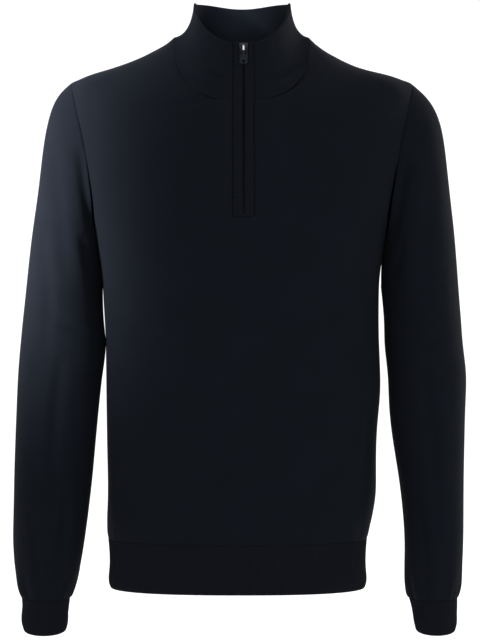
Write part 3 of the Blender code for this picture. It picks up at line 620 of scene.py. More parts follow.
def collar_net(front, back):
    """Columns run from the zip round the wearer's left, the back and the right to the zip again."""
    half = SHOULDER_CELLS + NECK_CELLS
    seam = np.concatenate([
        front[-1, half + 2 : half + 3 + NECK_CELLS],
        back[-1, SHOULDER_CELLS + 1 : -SHOULDER_CELLS - 1],
        front[-1, SHOULDER_CELLS : half + 1],
    ])
    slot = BAND_WIDTH + SEAM_GAP
    start = -np.arccos((ZIP_X + slot) / RIM_HALF_WIDTH)
    end = np.pi + np.arccos((slot - ZIP_X) / RIM_HALF_WIDTH)
    turn = np.concatenate([
        np.linspace(start, 0, NECK_CELLS + 1),
        np.linspace(0, np.pi, 2 * NECK_CELLS + 1)[1:-1],
        np.linspace(np.pi, end, NECK_CELLS + 1),
    ])
    top = rim(turn)
    flare = np.abs(np.cos(turn)) ** FLARE_POWER
    knee_level = COLLAR_KNEE - FLARE_LOWER * flare
    knee_out = COLLAR_KNEE - FLARE_INNER * flare
    knee = place(
        top[:, 0] + (seam[:, 0] - top[:, 0]) * knee_out,
        top[:, 1] + (seam[:, 1] - top[:, 1]) * knee_out,
        seam[:, 2] + (top[:, 2] - seam[:, 2]) * knee_level,
    )
    v = np.linspace(0, 1, COLLAR_CELLS + 1)[:, None, None]
    return (1 - v) ** 2 * seam + 2 * v * (1 - v) * knee + v**2 * top


def sleeve_ring(side, outer_height, inner_height, turn):
    """A ring of the sleeve, tilted when its outer and inner sides are at different heights."""
    table = SLEEVES[side]
    sign = WEARER_SIDE[side]
    outer = np.array([sign * table.at("outer", outer_height), 0, outer_height])
    inner = np.array([sign * table.at("inner", inner_height), 0, inner_height])
    share = (1 + np.cos(turn)) / 2
    ring = inner + share[:, None] * (outer - inner)
    middle = table.at("middle", ring[:, 2])
    return ring + place(0, middle - table.at("depth", inner_height) * np.sin(turn), 0)


def sleeve_net(side):
    """Rings from the armhole down to the cuff's seam. Columns run from the sleeve's top over its front,
    the underarm and its back."""
    turn = np.linspace(0, 2 * np.pi, 2 * ARMHOLE_CELLS, endpoint=False)
    loop = np.concatenate([armhole(side, "front"), armhole(side, "back")[-2:0:-1]])
    base = sleeve_ring(side, HEAD_HEIGHTS[0], HEAD_FEET[0], turn)
    base[0], base[ARMHOLE_CELLS] = loop[0], loop[ARMHOLE_CELLS]
    rings = []
    fade = np.linspace(1, 0, len(HEAD_HEIGHTS)) ** HEAD_FADE
    for share, outer_height, inner_height in zip(fade, HEAD_HEIGHTS, HEAD_FEET):
        rings.append(sleeve_ring(side, outer_height, inner_height, turn) + share * (loop - base))
    for height in ARM_HEIGHTS:
        rings.append(sleeve_ring(side, height, height, turn))
    return clear_of_body(np.stack(rings), ARM_GAP)


def cuff_net(side):
    """Rings from the cuff's seam down to its edge, the front of the edge hanging lower."""
    turn = np.linspace(0, 2 * np.pi, 2 * ARMHOLE_CELLS, endpoint=False)
    rings = np.stack([sleeve_ring(side, height, height, turn) for height in CUFF_HEIGHTS])
    share = np.linspace(0, 1, len(CUFF_HEIGHTS))[:, None]
    forward = np.sin(turn)
    rings[..., 2] -= share * CUFF_DROP * np.sign(forward) * np.abs(forward) ** CUFF_DROP_POWER
    return rings


def zip_edge(front, collar):
    """The line of the opening's edges, from its foot to the rim, at the middle of the zip."""
    column = SHOULDER_CELLS + NECK_CELLS
    foot = len(SIDE_SEAM_HEIGHTS) + len(ZIP_LINE_HEIGHTS) - 1
    right = np.concatenate([front[foot:, column], collar[1:, -1]])
    left = np.concatenate([front[foot:, column + 2], collar[1:, 0]])
    line = (right + left) / 2
    line[:, 0] = ZIP_X
    return line


def strip_net(line, start, end, fullness=BAND_BOW):
    """A strip along the zip between two distances from its middle, the same for all rows or one for each."""
    share = np.linspace(0, 1, STRIP_CELLS + 1)
    across = np.reshape(start, (-1, 1)) * (1 - share) + np.reshape(end, (-1, 1)) * share
    across = np.broadcast_to(across, (len(line), STRIP_CELLS + 1))
    bow = fullness * (1 - (across / BAND_WIDTH) ** 2)
    return line[:, None] + place(across, -bow, 0)


def band_net(side, line):
    """A facing band beside the zip, parted for the slider near the rim and gaping a little on the chest."""
    below_rim = line[-1, 2] - line[:, 2]
    part = np.clip(1 - (below_rim - SLIDER_ROOM) / SLIDER_ROOM, 0, 1)
    inner = TEETH_GAP + (SLIDER_GAP - TEETH_GAP) * part**2 * (3 - 2 * part)
    gape = np.clip((line[:, 2] - GAPE_FOOT) / (GAPE_HEAD - GAPE_FOOT), 0, 1)
    inner = inner + GAPE * np.sin(np.pi * gape) ** 2
    if side == "right":
        return strip_net(line, -BAND_WIDTH, -inner)
    return strip_net(line, inner, BAND_WIDTH)


# ---- Fine nets of points

def curve_matrix(knots, corners):
    """Turns values at the knots into the second derivatives of a smooth curve through them."""
    count = len(knots)
    size = np.diff(knots)
    left, right = np.eye(count), np.zeros((count, count))
    for i in range(1, count - 1):
        if i not in corners:
            before, after = size[i - 1], size[i]
            left[i, i - 1 : i + 2] = before, 2 * (before + after), after
            right[i, i - 1 : i + 2] = 6 / before, -6 / before - 6 / after, 6 / after
    return np.linalg.solve(left, right)


def refined(net, cell, closed=False, corners=(), cornered=None):
    """The net with more rows, about a cell apart, on smooth curves through its own. At the rows in corners,
    the columns turn sharply by their share in cornered. Returns it and the new number of each old row."""
    wrap = OVERLAP if closed else 0
    if closed:
        net = np.concatenate([net[-wrap:], net, net[: wrap + 1]])
    size = np.linalg.norm(np.diff(net, axis=0), axis=-1).mean(axis=1)
    knots = np.concatenate([[0], np.cumsum(size)])
    parts = np.maximum(1, np.round(size / cell).astype(int))
    flat = net.reshape(len(net), -1)
    bend = curve_matrix(knots, ()) @ flat
    if corners:
        share = np.repeat(cornered, 3)
        bend = bend * (1 - share) + (curve_matrix(knots, corners) @ flat) * share
    rows, numbers = [], []
    for i in range(wrap, len(net) - 1 - wrap):
        numbers.append(len(rows))
        for k in range(parts[i]):
            b = k / parts[i]
            a = 1 - b
            curve = ((a**3 - a) * bend[i] + (b**3 - b) * bend[i + 1]) * size[i] ** 2 / 6
            rows.append(a * flat[i] + b * flat[i + 1] + curve)
    if not closed:
        numbers.append(len(rows))
        rows.append(flat[-1])
    return np.array(rows).reshape(-1, *net.shape[1:]), numbers


def turned(net):
    """The net with its rows as columns."""
    return np.swapaxes(net, 0, 1)


def fine_net(net, row_cell, column_cell, closed=False, side_corner=None, top_corners=()):
    """The net drawn fine both ways. side_corner is the row where its two sides turn sharply, and top_corners
    the columns where its top edge does. Returns it with the new numbers of its old rows and columns."""
    rows_from_top = len(net) - 1 - np.arange(len(net))
    near_top = np.clip(1 - rows_from_top / CORNER_REACH, 0, 1)
    across, columns = refined(turned(net), column_cell, closed, top_corners, near_top)
    across = turned(across)
    place_of = np.interp(np.arange(across.shape[1]), columns, np.arange(len(columns)))
    from_side = np.minimum(place_of, len(columns) - 1 - place_of)
    near_side = np.clip(1 - from_side / CORNER_REACH, 0, 1)
    corners = () if side_corner is None else (side_corner,)
    fine, rows = refined(across, row_cell, False, corners, near_side)
    return fine, rows, columns


def seam_line(parts, at):
    """Points of a seam. Each part is a fine curve with its number of coarse cells, which at counts."""
    points = np.zeros((len(at), 3))
    start = 0
    for curve, cells in parts:
        here = (at >= start) & (at <= start + cells)
        share = (at[here] - start) / cells * (len(curve) - 1)
        for axis in range(3):
            points[here, axis] = np.interp(share, np.arange(len(curve)), curve[:, axis])
        start += cells
    return points


def cell_count(numbers, length):
    """Where each fine row or column is, counted in the coarse cells whose new numbers these are."""
    if numbers[-1] < length - 1:
        numbers = [*numbers, length]  # a closed net's last cell leads back to its first
    return np.interp(np.arange(length), numbers, np.arange(len(numbers)))


def drawn_to(net, line):
    """The net with its first row on this line, the rows beside it following less and less."""
    fade = np.clip(1 - np.arange(len(net)) / FOLLOW_ROWS, 0, 1) ** 2
    return net + (line - net[0]) * fade[:, None, None]


def facing(net, closed=False):
    """The direction that each point of the net faces."""
    if closed:
        across = np.roll(net, -1, axis=1) - np.roll(net, 1, axis=1)
    else:
        across = np.gradient(net, axis=1)
    return unit(np.cross(across, np.gradient(net, axis=0)))


def along_cloth(net, closed=False, middle=0, from_row=0):
    """Each point's place on the flat cloth: the way round from the middle column, and up from a row. A closed
    net gets one column more, where the cloth's own seam is."""
    if closed:
        net = np.concatenate([net, net[:, :1]], axis=1)
    round_it = np.linalg.norm(np.diff(net, axis=1), axis=-1)
    u = np.concatenate([np.zeros((len(net), 1)), np.cumsum(round_it, axis=1)], axis=1)
    up = np.linalg.norm(np.diff(net, axis=0), axis=-1)
    v = np.concatenate([np.zeros((1, net.shape[1])), np.cumsum(up, axis=0)])
    return np.stack([u - u[:, middle : middle + 1], v - v[from_row]], -1)


def pressed(net, piece, closed=False):
    """The net with this piece's folds pressed in: soft troughs, the cloth a little raised beside them."""
    faces = facing(net, closed)
    depth = np.zeros(net.shape[:2])
    strength = bpy.context.scene.sweater_cloth.fold_strength
    t = np.linspace(0, 1, FOLD_STEPS)[:, None]
    for row in FOLDS:
        fold = dict(zip(FOLD_COLUMNS, row))
        if fold["piece"] != piece:
            continue
        start, bend, end = [np.array([fold[f"{at}_x"], fold[f"{at}_z"]]) for at in ("start", "bend", "end")]
        course = (1 - t) ** 2 * start + 2 * t * (1 - t) * bend + t**2 * end
        apart = np.linalg.norm(net[:, :, None, ::2] - course, axis=-1)
        nearest = apart.argmin(axis=-1)
        distance = apart.min(axis=-1) / fold["width"]
        taper = np.sin(np.pi * t[nearest, 0] ** FOLD_LEAN) ** FOLD_BLUNT
        seen = np.clip(faces[..., 1] * FACE_SIDE[fold["face"]] * FOLD_FACING, 0, 1)
        profile = FOLD_BANK * np.exp(-((distance / 2) ** 2)) - FOLD_TROUGH * np.exp(-(distance**2))
        depth += fold["depth"] * strength * profile * taper * seen
    return net + faces * depth[..., None]


def gathered(net, pleats, turn, closed=False):
    """The net with pleats above its bottom row, turn being each column's way round."""
    faces = facing(net, closed)
    above = net[..., 2] - net[:1, :, 2]
    depth = np.zeros(net.shape[:2])
    for row in pleats:
        pleat = dict(zip(PLEAT_COLUMNS, row))
        rise = np.clip(above / pleat["reach"], 0, 1)
        uneven = np.ones_like(turn)
        for number, (waves, share) in enumerate(UNEVEN_PLEATS, 1):
            uneven += share * np.sin(waves * turn + number * pleat["shift"])
        wave = np.sin(pleat["waves"] * turn + pleat["shift"])
        depth += pleat["depth"] * uneven * wave * np.sin(np.pi * rise**PLEAT_LEAN)
    return net + faces * depth[..., None]


def ribbed(net, closed=False):
    """The net with vertical ribs raised in it. Its columns keep to the ribs."""
    settings = bpy.context.scene.sweater_cloth
    round_it = along_cloth(net, closed)[-1, :, 0]
    length = round_it[-1]
    ribs = round(length / (settings.rib_pitch * METRE))
    if closed:
        round_it = round_it[:-1]
    wave = 0.5 + 0.5 * np.cos(2 * np.pi * ribs * round_it / length)
    height = (wave**RIB_SHAPE - 0.5) * settings.rib_height * METRE
    return net + facing(net, closed) * height[None, :, None]


# ---- Shells

def grid_quads(rows, columns, stride, closed):
    """Corner numbers of a grid's quads. stride is the number of columns that the numbers count."""
    row, column = np.mgrid[: rows - 1, : columns if closed else columns - 1]
    beside = (column + 1) % stride
    low, high = row * stride, (row + 1) * stride
    return np.stack([low + column, low + beside, high + beside, high + column], -1).reshape(-1, 4)


def outline_edges(quads):
    """The edges that only one quad has, in that quad's direction."""
    edges = np.stack([quads, np.roll(quads, -1, axis=1)], -1).reshape(-1, 2)
    size = quads.max() + 1
    forward, backward = edges[:, 0] * size + edges[:, 1], edges[:, 1] * size + edges[:, 0]
    return edges[~np.isin(forward, backward)]


def shell(name, net, cloth_map, thickness, material, closed=False, free=(), cut_out=None, seam=SEAM_ROUND):
    """A closed shell of cloth behind a net of points, its edges rounded: by half its thickness at the free
    edges and by seam at the others. cloth_map is each point's place on the flat cloth, and cut_out marks the
    cells that are open."""
    rows, columns = net.shape[:2]
    quads = grid_quads(rows, columns, columns, closed)
    map_quads = grid_quads(rows, columns, cloth_map.shape[1], closed)
    if cut_out is not None:
        kept = ~cut_out.reshape(-1)
        quads, map_quads = quads[kept], map_quads[kept]
    points, faces = net.reshape(-1, 3), facing(net, closed).reshape(-1, 3)
    edges = outline_edges(quads)
    on_edge = unit(points[edges[:, 1]] - points[edges[:, 0]])
    away = np.zeros_like(points)
    for end in (0, 1):
        np.add.at(away, edges[:, end], np.cross(on_edge, faces[edges[:, end]]))
    rim_points = np.unique(edges)
    away[rim_points] = unit(away[rim_points])
    round_by = np.full((rows, columns), seam)
    lines = {"bottom": (0,), "top": (-1,), "start": (slice(None), 0), "end": (slice(None), -1)}
    for edge in free:
        round_by[lines[edge]] = thickness / 2
    round_by = round_by.reshape(-1, 1)

    inset = points - away * round_by
    layers = [inset, inset - faces * thickness]
    index = np.full(len(points), -1)
    index[rim_points] = np.arange(len(rim_points))
    for step in range(1, EDGE_STEPS):
        angle = np.pi * step / EDGE_STEPS
        back = thickness / 2 * (1 - np.cos(angle))
        layers.append((inset - faces * back + away * round_by * np.sin(angle))[rim_points])
    count = len(points)
    between = [index[edges] + 2 * count + k * len(rim_points) for k in range(EDGE_STEPS - 1)]
    rings = [edges, *between, edges + count]
    polygons = [quads, quads[:, ::-1] + count]
    for near, far in zip(rings, rings[1:]):
        polygons.append(np.stack([near[:, 1], near[:, 0], far[:, 0], far[:, 1]], -1))
    vertices, polygons = np.concatenate(layers), np.concatenate(polygons)
    used, polygons = np.unique(polygons, return_inverse=True)
    polygons = polygons.reshape(-1, 4)

    flat = cloth_map.reshape(-1, 2)
    by_point = np.zeros((len(points), 2))
    by_point[quads] = flat[map_quads]
    edge_map = by_point[edges]
    corner_maps = [flat[map_quads], flat[map_quads][:, ::-1]]
    corner_maps += [edge_map[:, [1, 0, 0, 1]]] * EDGE_STEPS
    return add_mesh(name, vertices[used], polygons, material, np.concatenate(corner_maps))


def add_mesh(name, points, polygons, material, corner_map=None, smooth=True):
    """An object with this mesh. corner_map is the place on the flat cloth of each polygon's corners."""
    mesh = bpy.data.meshes.new(name)
    mesh.from_pydata((np.asarray(points) / METRE).tolist(), [], np.asarray(polygons).tolist())
    if corner_map is not None:
        layer = mesh.uv_layers.new(name="cloth")
        layer.data.foreach_set("uv", (corner_map.reshape(-1) / METRE).astype(np.float32))
    mesh.materials.append(material)
    if smooth:
        mesh.shade_smooth()
    obj = bpy.data.objects.new(name, mesh)
    bpy.context.scene.collection.objects.link(obj)
    return obj


def finish_cloth(obj, node):
    """Puts a shell in its solid's place."""
    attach(obj, "sweater")
    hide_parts(node)


# ---- Finishes

MATH = "ShaderNodeMath"


def linear(hex_colour):
    """An sRGB colour, written as hex, as a linear one that is fully opaque."""
    values = [int(hex_colour[i : i + 2], 16) / 255 for i in (1, 3, 5)]
    return (*(v / 12.92 if v <= 0.04045 else ((v + 0.055) / 1.055) ** 2.4 for v in values), 1)


def add_node(material, kind, inputs=(), output=0, **settings):
    """Adds a node, sets it up, and gives its inputs values or links. Returns one of its outputs."""
    node = material.node_tree.nodes.new(kind)
    for name, value in settings.items():
        setattr(node, name, value)
    for key, value in dict(inputs).items():
        if isinstance(value, bpy.types.NodeSocket):
            material.node_tree.links.new(value, node.inputs[key])
        else:
            node.inputs[key].default_value = value
    return node.outputs[output]


def new_material(name, **shader):
    """A material whose shader has these settings, by the names of its inputs with _ for a space."""
    material = bpy.data.materials.new(name)
    material.use_nodes = True
    inputs = material.node_tree.nodes["Principled BSDF"].inputs
    for key, value in shader.items():
        inputs[key.replace("_", " ")].default_value = value
    return material


def set_shader(material, **sockets):
    """Links these sockets to the shader's inputs, named as in new_material."""
    inputs = material.node_tree.nodes["Principled BSDF"].inputs
    for key, socket in sockets.items():
        material.node_tree.links.new(socket, inputs[key.replace("_", " ")])


@functools.cache
def knit_material(name, colour, nap):
    """Fine wool knit: V-shaped stitches in columns, matt, with a soft nap that pales where the cloth turns
    away. To the eye a deep, even navy, its stitches seen only from close by."""
    settings = bpy.context.scene.sweater_cloth
    material = new_material(name, Roughness=0.9, Specular_IOR_Level=0.04, Sheen_Weight=nap,
                            Sheen_Roughness=0.45, Sheen_Tint=linear("#ddecff"))
    place_on_cloth = add_node(material, "ShaderNodeUVMap", uv_map="cloth")
    u, v = [add_node(material, "ShaderNodeSeparateXYZ", {0: place_on_cloth}, output=axis) for axis in (0, 1)]
    wale = add_node(material, MATH, {0: u, 1: settings.wale}, operation="DIVIDE")
    course = add_node(material, MATH, {0: v, 1: settings.course}, operation="DIVIDE")
    # Each stitch has two legs that lean in to the middle of its column.
    in_wale = add_node(material, MATH, {0: wale}, operation="FRACT")
    off_middle = add_node(material, MATH, {0: in_wale, 1: 0.5}, operation="SUBTRACT")
    lean = add_node(material, MATH, {0: off_middle}, operation="ABSOLUTE")
    wale_turn = add_node(material, MATH, {0: wale, 1: 2 * np.pi}, operation="MULTIPLY")
    wale_wave = add_node(material, MATH, {0: wale_turn}, operation="SINE")
    leg = add_node(material, MATH, {0: wale_wave}, operation="ABSOLUTE")
    leaning = add_node(material, MATH, {0: course, 1: lean}, operation="ADD")
    in_course = add_node(material, MATH, {0: leaning}, operation="FRACT")
    course_turn = add_node(material, MATH, {0: in_course, 1: np.pi}, operation="MULTIPLY")
    loop = add_node(material, MATH, {0: course_turn}, operation="SINE")
    raised = add_node(material, MATH, {0: loop, 1: STITCH_ENDS, 2: 1 - STITCH_ENDS}, operation="MULTIPLY_ADD")
    height = add_node(material, MATH, {0: leg, 1: raised}, operation="MULTIPLY")
    position = add_node(material, "ShaderNodeTexCoord", output=3)
    fuzz = add_node(material, "ShaderNodeTexNoise",
                    {"Vector": position, "Scale": METRE / NAP_TUFT, "Detail": 2.0})
    bumped = add_node(material, MATH, {0: fuzz, 1: NAP_HEIGHT, 2: height}, operation="MULTIPLY_ADD")
    normal = add_node(material, "ShaderNodeBump",
                      {"Strength": 0.35, "Distance": STITCH_DEPTH / METRE, "Height": bumped})
    cloud = add_node(material, "ShaderNodeTexNoise",
                     {"Vector": position, "Scale": METRE / DYE_PATCH, "Detail": 3.0})
    # Painted shade: the colour is darker between the stitches, where shade falls in the hollows. The dye's
    # tone also changes in patches at random.
    between = add_node(material, MATH, {0: height, 1: PAINTED_STITCH_SHADE, 2: 1 - PAINTED_STITCH_SHADE},
                       operation="MULTIPLY_ADD")
    shade = add_node(material, MATH, {0: cloud, 1: DYE_SHADE, 2: between}, operation="MULTIPLY_ADD")
    tone = add_node(material, "ShaderNodeMix", {0: 1.0, 6: linear(colour), 7: shade},
                    output=2, data_type="RGBA", blend_type="MULTIPLY")
    set_shader(material, Base_Color=tone, Normal=normal)
    return material


def tape_material():
    """Woven polyester tape: a fine, slightly shiny weave, near the knit in colour, seen only in the slit."""
    material = new_material("woven_polyester_tape", Roughness=0.6, Base_Color=linear("#10141b"))
    position = add_node(material, "ShaderNodeTexCoord", output=3)
    weave = add_node(material, "ShaderNodeTexChecker",
                     {"Vector": position, "Scale": METRE / TAPE_THREAD}, output=1)
    normal = add_node(material, "ShaderNodeBump",
                      {"Strength": 0.3, "Distance": TAPE_RELIEF / METRE, "Height": weave})
    set_shader(material, Normal=normal)
    return material


def thread_material():
    """Polyester sewing thread, twisted: a shade darker than the knit, with a faint shine, so that a tack
    shows as a fine bar."""
    material = new_material("twisted_polyester_thread", Roughness=0.7, Specular_IOR_Level=0.15,
                            Base_Color=linear("#0c0e13"))
    position = add_node(material, "ShaderNodeTexCoord", output=3)
    scale = METRE / THREAD_TWIST * 2 * np.pi / WAVE_TURN
    twist = add_node(material, "ShaderNodeTexWave", {"Vector": position, "Scale": scale}, output=1)
    normal = add_node(material, "ShaderNodeBump",
                      {"Strength": 0.3, "Distance": THREAD_RELIEF / METRE, "Height": twist})
    set_shader(material, Normal=normal)
    return material


def metal_material(name, colour, roughness, glint_from=None):
    """Plated zinc alloy, cast and polished: dark, with faint polishing marks. To the eye a near-black
    casting, with a painted highlight: a bright colour stands in for a glint where it stands out further to
    the front than the given limit."""
    material = new_material(name, Metallic=1.0, Base_Color=linear(colour))
    position = add_node(material, "ShaderNodeTexCoord", output=3)
    marks = add_node(material, "ShaderNodeTexNoise",
                     {"Vector": position, "Scale": METRE / POLISH_MARK, "Detail": 2.0})
    rough = add_node(material, MATH, {0: marks, 1: MARK_ROUGHNESS, 2: roughness - MARK_ROUGHNESS / 2},
                     operation="MULTIPLY_ADD")
    set_shader(material, Roughness=rough)
    if glint_from is not None:
        # Painted highlight: the parts that stand out furthest to the front are coloured bright, as a glint.
        out = add_node(material, "ShaderNodeSeparateXYZ", {0: position}, output=1)
        painted_glint_mask = add_node(material, "ShaderNodeMapRange",
                        {"Value": out, "From Min": glint_from, "From Max": glint_from - GLINT_FADE})
        tone = add_node(material, "ShaderNodeMix", {0: painted_glint_mask, 6: linear(colour), 7: linear(PAINTED_GLINT)},
                        output=2, data_type="RGBA")
        set_shader(material, Base_Color=tone)
    return material


# ---- Sizes and colours that can be changed

class ClothSettings(bpy.types.PropertyGroup):
    """Sizes of the cloth"""

    jersey: bpy.props.FloatProperty(
        name="Jersey", description="Thickness of the body and sleeves", default=0.002, unit="LENGTH")
    rib: bpy.props.FloatProperty(
        name="Rib", description="Thickness of the hem and cuffs", default=0.0026, unit="LENGTH")
    collar: bpy.props.FloatProperty(
        name="Collar", description="Thickness of the folded collar", default=0.003, unit="LENGTH")
    band: bpy.props.FloatProperty(
        name="Bands", description="Thickness of the bands beside the zip", default=0.0026, unit="LENGTH")
    wale: bpy.props.FloatProperty(
        name="Stitch width", description="Width of one column of stitches", default=0.0014, unit="LENGTH")
    course: bpy.props.FloatProperty(
        name="Stitch height", description="Height of one row of stitches", default=0.00105, unit="LENGTH")
    rib_pitch: bpy.props.FloatProperty(
        name="Rib pitch", description="From one rib to the next", default=0.0032, unit="LENGTH")
    rib_height: bpy.props.FloatProperty(
        name="Rib height", description="How far the ribs stand up", default=0.0005, unit="LENGTH")
    fold_strength: bpy.props.FloatProperty(
        name="Folds", description="Share of the folds' depth", default=1.0, min=0.0, max=2.0,
        subtype="FACTOR")
    cell: bpy.props.FloatProperty(
        name="Cell", description="Size of the cloth's mesh cells", default=0.003, unit="LENGTH")


class ColourSettings(bpy.types.PropertyGroup):
    """Colours of the cloth and the zip"""

    knit: bpy.props.StringProperty(
        name="Knit", description="Body, sleeves and collar, as hex", default="#0e1117")
    ribs: bpy.props.StringProperty(
        name="Ribs", description="Hem, cuffs and bands, as hex", default="#0e1016")
    slider: bpy.props.StringProperty(
        name="Slider", description="The zip's slider, as hex", default="#282b31")
    tab: bpy.props.StringProperty(
        name="Pull tab", description="The pull tab, as hex", default="#22262c")
    nap: bpy.props.FloatProperty(
        name="Nap", description="How much the knit pales at its edges", default=0.014, min=0.0, max=1.0,
        subtype="FACTOR")


class StageSettings(bpy.types.PropertyGroup):
    """Strengths of the lights, and the camera's lens"""

    key: bpy.props.FloatProperty(
        name="Key light", description="Soft light from the viewer's left", default=3.7, unit="POWER")
    fill: bpy.props.FloatProperty(
        name="Fill light", description="Soft light from the viewer's right", default=2.4, unit="POWER")
    neck: bpy.props.FloatProperty(
        name="Neck light", description="A narrow beam on the collar's inside", default=0.024, unit="POWER")
    back: bpy.props.FloatProperty(
        name="Back light", description="Soft light on the sweater's back", default=24.0, unit="POWER")
    surround: bpy.props.FloatProperty(
        name="Surround", description="Brightness of the white room", default=1.0, min=0.0)
    lens: bpy.props.FloatProperty(
        name="Lens", description="Focal length in mm on a 36 mm sensor", default=129.0, min=10.0)


# ---- Pieces

@functools.cache
def coarse_nets():
    """The nets of the panels and the collar, as coarse as in the solids."""
    front, back = front_net(), back_net()
    return {"front_panel": front, "back_panel": back, "collar": collar_net(front, back)}


def tube_net(net):
    """A sleeve or cuff net with its rows running up and its own seam under the arm."""
    return np.roll(net, len(net[0]) // 2, axis=1)


def outward(net, side):
    """The tube's net with its columns running so that it faces out."""
    return net if side == "right" else np.roll(net[:, ::-1], 1, axis=1)


def neck_parts():
    """The neckline's four quarters, from the zip round the wearer's left, the back and the right."""
    slot = BAND_WIDTH + SEAM_GAP
    return {
        "front_left": (neckline("left", "front", ZIP_X + slot, SEAM_POINTS)[::-1], NECK_CELLS),
        "back_left": (neckline("left", "back", 0.0, SEAM_POINTS), NECK_CELLS),
        "back_right": (neckline("right", "back", 0.0, SEAM_POINTS)[::-1], NECK_CELLS),
        "front_right": (neckline("right", "front", ZIP_X - slot, SEAM_POINTS), NECK_CELLS),
    }


def panel_on_seams(net, face, rows, columns):
    """A panel with its top and its armholes drawn to the seams' own curves."""
    first, last = ("right", "left") if face == "front" else ("left", "right")
    neck = neck_parts()
    half = len(columns) // 2
    over_zip = (net[-1, columns[half - 1] : columns[half + 1] + 1], 2)
    seams = [
        (shoulder_seam(first, SEAM_POINTS), SHOULDER_CELLS),
        neck[f"{face}_{first}"],
        *([over_zip] if face == "front" else []),
        neck[f"{face}_{last}"],
        (shoulder_seam(last, SEAM_POINTS)[::-1], SHOULDER_CELLS),
    ]
    net = drawn_to(net[::-1], seam_line(seams, cell_count(columns, net.shape[1])))[::-1]
    under = len(SIDE_SEAM_HEIGHTS)
    up = cell_count(rows, net.shape[0])
    upper = slice(rows[under], None)
    sides = turned(net)
    for side, order in ((first, 1), (last, -1)):
        line = sides[::order][0].copy()
        line[upper] = seam_line([(armhole(side, face, SEAM_POINTS)[::-1], ARMHOLE_CELLS)], up[upper] - under)
        sides = drawn_to(sides[::order], line)[::order]
    return turned(sides)


def sleeve_on_seam(net, side, columns):
    """A sleeve with its head drawn to the armhole's own curve."""
    at = cell_count(columns, net.shape[1])
    order = 1 if side == "right" else -1
    round_it = (order * (at - ARMHOLE_CELLS)) % (2 * ARMHOLE_CELLS)
    loop = [(armhole(side, "front", SEAM_POINTS), ARMHOLE_CELLS),
            (armhole(side, "back", SEAM_POINTS)[::-1], ARMHOLE_CELLS)]
    return drawn_to(net[::-1], seam_line(loop, round_it))[::-1]


class SWEATER_OT_panels(bpy.types.Operator):
    """Build the front, with its slit for the zip, and the back"""

    bl_idname = "sweater.panels"
    bl_label = "Front and back"

    def execute(self, context):
        cloth, colours = context.scene.sweater_cloth, context.scene.sweater_colours
        knit = knit_material("knitted_wool_jersey", colours.knit, colours.nap)
        cell = cloth.cell * METRE
        under = len(SIDE_SEAM_HEIGHTS)
        for face in FACE_SIDE:
            name = f"{face}_panel"
            coarse = coarse_nets()[name]
            last = coarse.shape[1] - 1
            net, rows, columns = fine_net(coarse, cell, cell, side_corner=under,
                                          top_corners=(SHOULDER_CELLS, last - SHOULDER_CELLS))
            net = panel_on_seams(net, face, rows, columns)
            turn = np.linspace(0, np.pi, net.shape[1])
            net = pressed(gathered(net, HEM_PLEATS, turn), name)
            cut_out = None
            if face == "front":
                middle = SHOULDER_CELLS + NECK_CELLS
                foot = under + len(ZIP_LINE_HEIGHTS) - 1
                cut_out = np.zeros((net.shape[0] - 1, net.shape[1] - 1), bool)
                cut_out[rows[foot]:, columns[middle] : columns[middle + 2]] = True
            cloth_map = along_cloth(net, middle=net.shape[1] // 2)
            obj = shell(f"{name}_knit", net, cloth_map, cloth.jersey * METRE, knit, cut_out=cut_out)
            finish_cloth(obj, name)
        return {"FINISHED"}


class SWEATER_OT_sleeves(bpy.types.Operator):
    """Build both sleeves, gathered into the cuffs"""

    bl_idname = "sweater.sleeves"
    bl_label = "Sleeves"

    def execute(self, context):
        cloth, colours = context.scene.sweater_cloth, context.scene.sweater_colours
        knit = knit_material("knitted_wool_jersey", colours.knit, colours.nap)
        cell = cloth.cell * METRE
        for side in WEARER_SIDE:
            net = outward(sleeve_net(side)[::-1], side)
            net, _, columns = fine_net(tube_net(net), cell, cell, closed=True)
            net = sleeve_on_seam(net, side, columns)
            turn = np.linspace(0, 2 * np.pi, net.shape[1], endpoint=False)
            net = pressed(gathered(net, SLEEVE_PLEATS, turn, True), f"sleeve_{side}", True)
            cloth_map = along_cloth(net, True, net.shape[1] // 2)
            obj = shell(f"sleeve_{side}_knit", net, cloth_map, cloth.jersey * METRE, knit, closed=True)
            finish_cloth(obj, f"sleeve_{side}")
        return {"FINISHED"}


class SWEATER_OT_ribs(bpy.types.Operator):
    """Build the ribbed hem and cuffs"""

    bl_idname = "sweater.ribs"
    bl_label = "Ribbed hem and cuffs"

    def execute(self, context):
        cloth, colours = context.scene.sweater_cloth, context.scene.sweater_colours
        rib = knit_material("knitted_wool_rib", colours.ribs, colours.nap)
        cell, thickness = cloth.cell * METRE, cloth.rib * METRE
        across = cloth.rib_pitch * METRE / RIB_STEPS
        for face in FACE_SIDE:
            net = fine_net(hem_net(coarse_nets()[f"{face}_panel"]), cell, across)[0]
            net = ribbed(net)
            cloth_map = along_cloth(net, middle=net.shape[1] // 2)
            obj = shell(f"hem_rib_{face}_knit", net, cloth_map, thickness, rib, free=("bottom",))
            finish_cloth(obj, f"hem_rib_{face}")
        for side in WEARER_SIDE:
            net = outward(cuff_net(side)[::-1], side)
            net = fine_net(tube_net(net), cell, across, closed=True)[0]
            net = ribbed(net, True)
            cloth_map = along_cloth(net, True, net.shape[1] // 2)
            obj = shell(f"cuff_{side}_knit", net, cloth_map, thickness, rib, closed=True, free=("bottom",))
            finish_cloth(obj, f"cuff_{side}")
        return {"FINISHED"}


